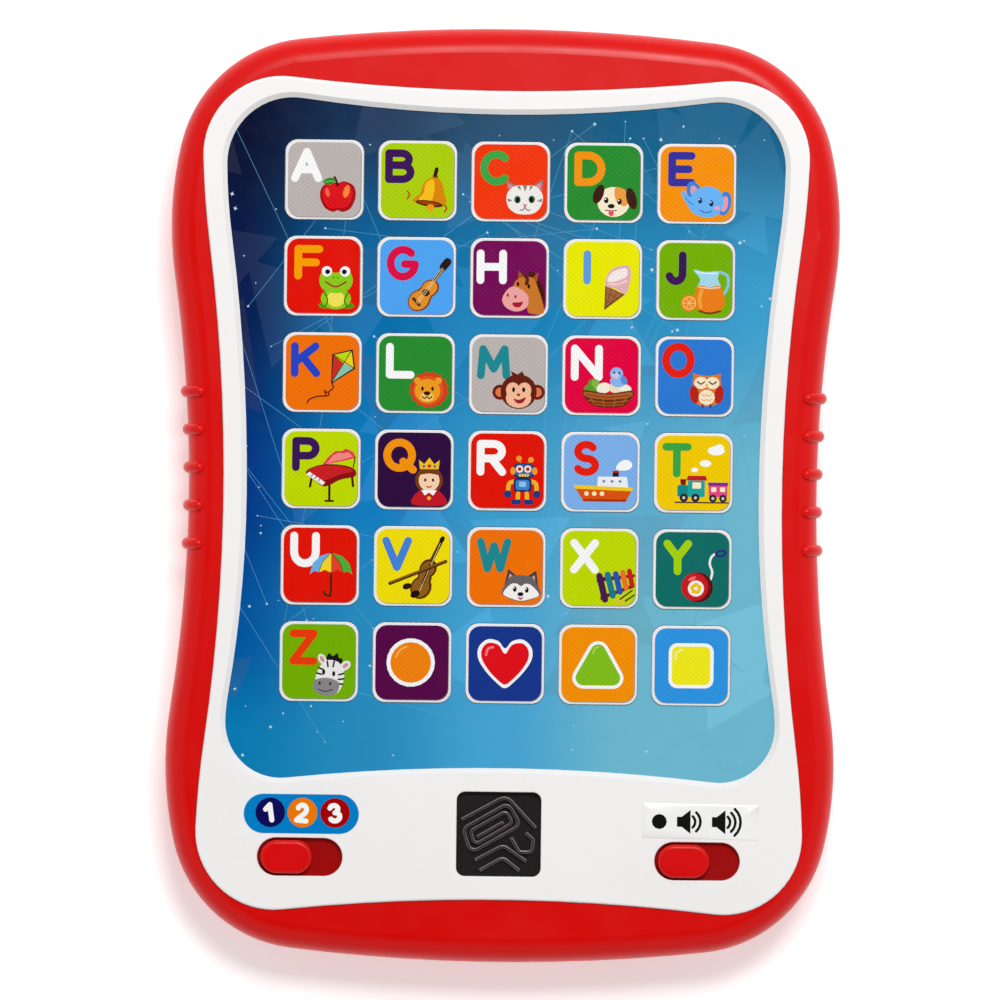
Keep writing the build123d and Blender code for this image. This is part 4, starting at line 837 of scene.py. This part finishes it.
        ("f2f0ee", "disc", (0.9, 0.6, 1.0, 1.5, 30), (6.9, -1.0, 1.1, 1.5, -50)),
        ("d89890", "disc", (0.9, 0.6, 0.5, 0.9, 30), (6.9, -1.0, 0.5, 0.9, -50)),
        ("f2f0ee", "blob", ((1.4, 0.0), (4.4, 0.2), (6.4, -1.8), (6.4, -5.0), (5.0, -8.0), (2.0, -8.6),
         (-0.6, -7.2), (-0.6, -3.4))),
        ("18181c", "curve", (0.45, (0.0, -1.6), (1.2, -2.1)), (0.45, (-0.5, -3.0), (0.8, -3.3)),
         (0.45, (6.5, -3.0), (5.2, -3.4)), (0.45, (6.5, -4.4), (5.1, -4.6)), (0.45, (6.2, -5.8),
         (4.9, -5.7)), (0.45, (2.2, 0.0), (2.4, -1.3)), (0.45, (4.0, 0.1), (3.7, -1.3))),
        ("8c8a8c", "blob", ((-0.6, -4.6), (2.4, -4.2), (5.2, -5.4), (4.8, -8.0), (2.0, -8.9),
         (-0.8, -7.8), (-1.5, -6.0))), ("303034", "disc", (0.3, -5.6, 0.3, 0.45), (3.0, -5.7, 0.3, 0.45)),
        ("303034", "curve", (0.25, (0.0, -7.2), (1.8, -7.7), (3.6, -7.2))),
        ("101014", "disc", (1.3, -2.7, 0.4, 0.7), (3.9, -3.1, 0.4, 0.7)),
    ],
    "circle": [
        ("ffffff", "disc", (-0.3, 0.0, 6.25)), ("f8860c", "disc", (-0.3, 0.0, 5.25)),
        ("ffb450", "curve", (0.5, (-4.1, 1.4), (-3.0, 3.2), (-1.4, 4.1))),
    ],
    "heart": [
        ("ffffff", "blob", ((0.0, 3.9), (1.8, 5.8), (4.6, 6.2), (6.8, 4.2), (6.9, 1.2), (4.8, -2.2),
         (1.4, -5.6), (0.0, -6.3), (-1.4, -5.6), (-4.8, -2.2), (-6.9, 1.2), (-6.8, 4.2), (-4.6, 6.2),
         (-1.8, 5.8))),
        ("e8101c", "blob", ((0.0, 2.5), (1.7, 4.8), (4.3, 5.3), (5.9, 3.8), (6.0, 1.3), (4.1, -1.9),
         (1.2, -4.8), (0.0, -5.4), (-1.2, -4.8), (-4.1, -1.9), (-6.0, 1.3), (-5.9, 3.8), (-4.3, 5.3),
         (-1.7, 4.8))), ("ff8080", "curve", (0.6, (-4.9, 2.2), (-4.4, 3.8), (-3.1, 4.2))),
    ],
    "triangle": [
        ("ffffff", "area", (*arc(0, 3.3, 2.8, 2.8, 150, 30), *arc(3.8, -3.4, 2.8, 2.8, 30, -90),
         *arc(-3.8, -3.4, 2.8, 2.8, -90, -210))),
        ("84c41c", "area", (*arc(0, 3.3, 1.95, 1.95, 150, 30), *arc(3.8, -3.4, 1.95, 1.95, 30, -90),
         *arc(-3.8, -3.4, 1.95, 1.95, -90, -210))),
        ("b4e05c", "curve", (0.4, (-1.3, 2.9), (-0.9, 4.1), (0.0, 4.6))),
    ],
    "square": [
        ("ffffff", "box", (0.0, 0.0, 11.6, 11.6, 2.2)), ("f8f01c", "box", (0.0, 0.0, 9.9, 9.9, 1.5)),
        ("fff8a0", "curve", (0.5, (-4.0, 1.6), (-3.9, 3.3), (-2.2, 4.1))),
    ],
}


# ---------------------------------------------------------------- keys

def placed(outline, x=0, y=0):
    """An outline in millimetres about (x, y), in metres."""
    return [((x + u) * MM, (y + v) * MM) for u, v in outline]


def drawn(words, x, y):
    """Turns drawing words in millimetres about (x, y) into outlines in metres with their colours."""
    result = []
    for colour, kind, *runs in words:
        for numbers in runs:
            result += [(placed(outline, x, y), ink(colour)) for outline in outlines(kind, *numbers)]
    return result


TILE = (18.8, 19.2, 3.0)     # width, height and corner radius in millimetres
LETTER_STROKE = 2.0
for key in list(LETTERS) + list(SHAPES):
    node = "key_" + key
    low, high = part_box(node)
    x, y = (low.x + high.x) / 2 / MM, (low.y + high.y) / 2 / MM
    tile = INKS[LETTERS[key][0] if key in LETTERS else SHAPES[key]]
    words = [
        # painted shadow: a grey copy of the tile, shifted right and down under it, shows as a thin dark line
        # along the tile's right and bottom edges
        ("8e8c90", "box", (0.12, -0.14, TILE[0] + 0.1, TILE[1] + 0.1, TILE[2])),
        (tile, "box", (0.0, 0.0, *TILE)),
    ]
    drawing = [([], ink("f2f1f2"))] + drawn(words, x, y)
    if key in LETTERS:
        _, colour, left, right, top, bottom = LETTERS[key]
        for outline in lettered(key, left, right, top, bottom, LETTER_STROKE):
            drawing.append((placed(outline, x, y), ink(colour)))
    drawing += drawn(PICTURES[key], x, y)
    piece = printed(node, drawing, "tile_" + key)
    piece.data.materials.append(print_key)
    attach(piece, node)
    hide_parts(node)


# ---------------------------------------------------------------- the film, a night sky behind the keys

SKY = (  # height in millimetres and the inks from left to right, 34 mm apart
    (98, ("midnight", "dusk", "storm", "harbour", "harbour")),
    (50, ("night", "current", "lagoon", "shallow", "surf")),
    (0, ("deep", "bright", "surf", "mist", "haze")),
    (-35, ("ocean", "shallow", "powder", "haze", "haze")),
    (-66, ("lagoon", "shallow", "powder", "haze", "haze")),
)


def sky(point):
    """The colour of the film at a point, blended between the colours above."""
    x, y = point[0] / MM, point[1] / MM
    across = min(max((x + 68) / 34, 0.0), 3.999)
    column, u = int(across), across % 1
    index = next((i for i in range(len(SKY) - 1) if y >= SKY[i + 1][0]), len(SKY) - 2)
    (above, a), (below, b) = SKY[index], SKY[index + 1]
    v = min(max((above - y) / (above - below), 0.0), 1.0)
    u, v = u * u * (3 - 2 * u), v * v * (3 - 2 * v)
    left, right = ink(INKS[a[column]]), ink(INKS[a[column + 1]])
    upper = [p + (q - p) * u for p, q in zip(left, right)]
    left, right = ink(INKS[b[column]]), ink(INKS[b[column + 1]])
    lower = [p + (q - p) * u for p, q in zip(left, right)]
    return tuple(p + (q - p) * v for p, q in zip(upper, lower))


def facet(shift, amount):
    """The sky made lighter or darker over one flat facet."""
    return lambda point: tuple(min(1.0, c * amount + shift) for c in sky(point)[:3]) + (1.0,)


def star(x, y, size, points=5):
    """A star outline with this many points."""
    turns = [math.pi * i / points + 0.3 for i in range(2 * points)]
    reach = [size * (0.42 if i % 2 else 1) for i in range(len(turns))]
    return placed([(r * math.sin(t), r * math.cos(t)) for r, t in zip(reach, turns)], x, y)


def scatter(seed):
    """A repeatable run of numbers from 0 to 1."""
    value = seed
    while True:
        value = (value * 16807) % 2147483647
        yield value / 2147483647


low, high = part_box("overlay_film")
drawing = [([], sky)]
cell = 6.5
columns = int((high.x - low.x) / MM / cell) + 1
rows_high = int((high.y - low.y) / MM / cell) + 1
for i in range(columns):
    for j in range(rows_high):
        x, y = low.x / MM + i * cell, low.y / MM + j * cell
        corners = ((x, y), (x + cell, y), (x + cell, y + cell), (x, y + cell))
        drawing.append((placed(corners), sky))
shake = scatter(7)
for _ in range(46):
    x, y = -75 + 150 * next(shake), -70 + 172 * next(shake)
    size = 6 + 12 * next(shake)
    turn = math.tau * next(shake)
    corners = [(x + size * math.cos(turn + k * 2.1), y + size * math.sin(turn + k * 2.1)) for k in range(3)]
    drawing.append((placed(corners), facet(0.012, 1.1 if next(shake) > 0.4 else 0.88)))
places = []
for _ in range(170):
    x, y = -74 + 148 * next(shake), -68 + 168 * next(shake)
    places.append((x, y))
    if len(places) > 1 and math.dist(places[-2], places[-1]) < 70 and next(shake) > 0.35:
        for outline in strokes([places[-2], places[-1]], 0.1):
            drawing.append((placed(outline), ink("5fa6cc")))
for x, y in places:
    drawing.append((star(x, y, 0.22 + 0.42 * next(shake) ** 2, 4), ink("cfe6f2")))
film = printed("overlay_film", drawing, "sky_film")
film.data.materials.append(print_film)
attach(film, "root")
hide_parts("overlay_film")


# ---------------------------------------------------------------- stickers

number_words = [
    ("0f0a5a", "disc", (-58.9, -82.3, 3.85)),
    ("f57d00", "disc", (-50.6, -82.3, 3.85)),
    ("aa0000", "disc", (-42.2, -82.3, 3.85)),
]
number_sticker = [([], ink("0082cd"))] + drawn(number_words, 0, 0)
for digit, x, turn in (("1", -59.0, 8), ("2", -50.7, -6), ("3", -42.3, 8)):
    for outline in lettered(digit, x - 1.9, x + 1.9, -79.7, -85.0, 1.3, turn):
        number_sticker.append((placed(outline), ink("ffffff")))


def loudspeaker(x, y, waves):
    """A loudspeaker sign with sound waves."""
    words = [
        ("141414", "box", (x - 2.2, y, 1.8, 2.6, 0.2)),
        ("141414", "area", ((x - 2.0, y + 1.2), (x + 0.4, y + 3.1), (x + 0.4, y - 3.1), (x - 2.0, y - 1.2))),
    ]
    for i in range(waves):
        r = 1.9 + 1.35 * i
        words.append(("141414", "line", (0.7, *arc(x - 0.3, y, r, r, 48, -48))))
    return words


volume_sticker = [([], ink("fbfbfa"))]
volume_words = [("141414", "disc", (41.35, -83.5, 1.95)), *loudspeaker(49.0, -83.5, 2)]
volume_sticker += drawn(volume_words + loudspeaker(58.0, -83.5, 3), 0, 0)
for node, drawing in (("number_sticker", number_sticker), ("volume_sticker", volume_sticker)):
    piece = printed(node, drawing, node + "_print")
    piece.data.materials.append(print_label)
    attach(piece, "root")
    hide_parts(node)


# ---------------------------------------------------------------- floor, light and camera

def floor_finish():
    """Pale paper, clear from below so that views from under the object show its back."""
    s = Shader("paper_floor")
    s.colour(s.blend((s.noise(0.05), 0), ink("fcfcfc"), ink("f7f7f7")))
    s.rough(0.02, 0.85, 0.95)
    s.bump(s.noise(0.001), 0, 0.00001)
    side = s.add("ShaderNodeNewGeometry")
    through = s.add("ShaderNodeBsdfTransparent")
    mix = s.add("ShaderNodeMixShader")
    s.link(side, "Backfacing", mix, 0)
    s.set(Emission_Color=(1, 1, 1, 1), Emission_Strength=0.35)
    s.link(s.bsdf, "BSDF", mix, 1)
    s.link(through, "BSDF", mix, 2)
    s.link(mix, "Shader", s.out, "Surface")
    return s.material


FLOOR_GAP = 0.0003     # keeps the floor out of the plane of the flat back
bm = bmesh.new()
bmesh.ops.create_grid(bm, x_segments=8, y_segments=8, size=1.6)
mesh = bpy.data.meshes.new("floor")
bm.to_mesh(mesh)
bm.free()
floor = bpy.data.objects.new("floor", mesh)
bpy.context.scene.collection.objects.link(floor)
floor.data.materials.append(floor_finish())
floor.location.z = -FLOOR_GAP


def softbox(name, place, aim, size, power):
    light = bpy.data.lights.new(name, "AREA")
    light.shape = "RECTANGLE"
    light.size, light.size_y = size
    light.energy = power
    lamp = bpy.data.objects.new(name, light)
    bpy.context.scene.collection.objects.link(lamp)
    lamp.location = place
    lamp.rotation_euler = (Vector(aim) - Vector(place)).to_track_quat("-Z", "Y").to_euler()


softbox("key_light", (0.16, 0.62, 1.25), (0, 0, 0), (0.5, 0.4), 11.5)


def studio_world():
    """Pale walls all round, and a dark opening overhead, so that flat tops keep their own colours."""
    world = bpy.data.worlds.new("studio")
    world.use_nodes = True
    tree = world.node_tree
    backdrop = tree.nodes["Background"]
    backdrop.inputs["Color"].default_value = (1, 1, 1, 1)
    direction = tree.nodes.new("ShaderNodeTexCoord")
    split = tree.nodes.new("ShaderNodeSeparateXYZ")
    ramp = tree.nodes.new("ShaderNodeMapRange")
    ramp.interpolation_type = "SMOOTHSTEP"
    for entry, value in (("From Min", 0.78), ("From Max", 0.93), ("To Min", 0.62), ("To Max", 0.03)):
        ramp.inputs[entry].default_value = value
    tree.links.new(direction.outputs["Generated"], split.inputs["Vector"])
    tree.links.new(split.outputs["Z"], ramp.inputs["Value"])
    tree.links.new(ramp.outputs["Result"], backdrop.inputs["Strength"])
    return world


bpy.context.scene.world = studio_world()
bpy.context.scene.view_settings.view_transform = "Standard"

VIEW_DISTANCE = 2.0      # from the camera to the face, in metres
FRAME_WIDTH = 0.2578     # what the camera sees across at that distance
camera = bpy.data.cameras.new("camera")
camera.sensor_width = 36.0
camera.lens = camera.sensor_width * VIEW_DISTANCE / FRAME_WIDTH
camera.clip_start = 0.1
view = bpy.data.objects.new("camera", camera)
bpy.context.scene.collection.objects.link(view)
view.location = (-0.00067, -0.00116, 2.022)
view.rotation_euler = (0, 0, math.radians(0.68))
bpy.context.scene.camera = view
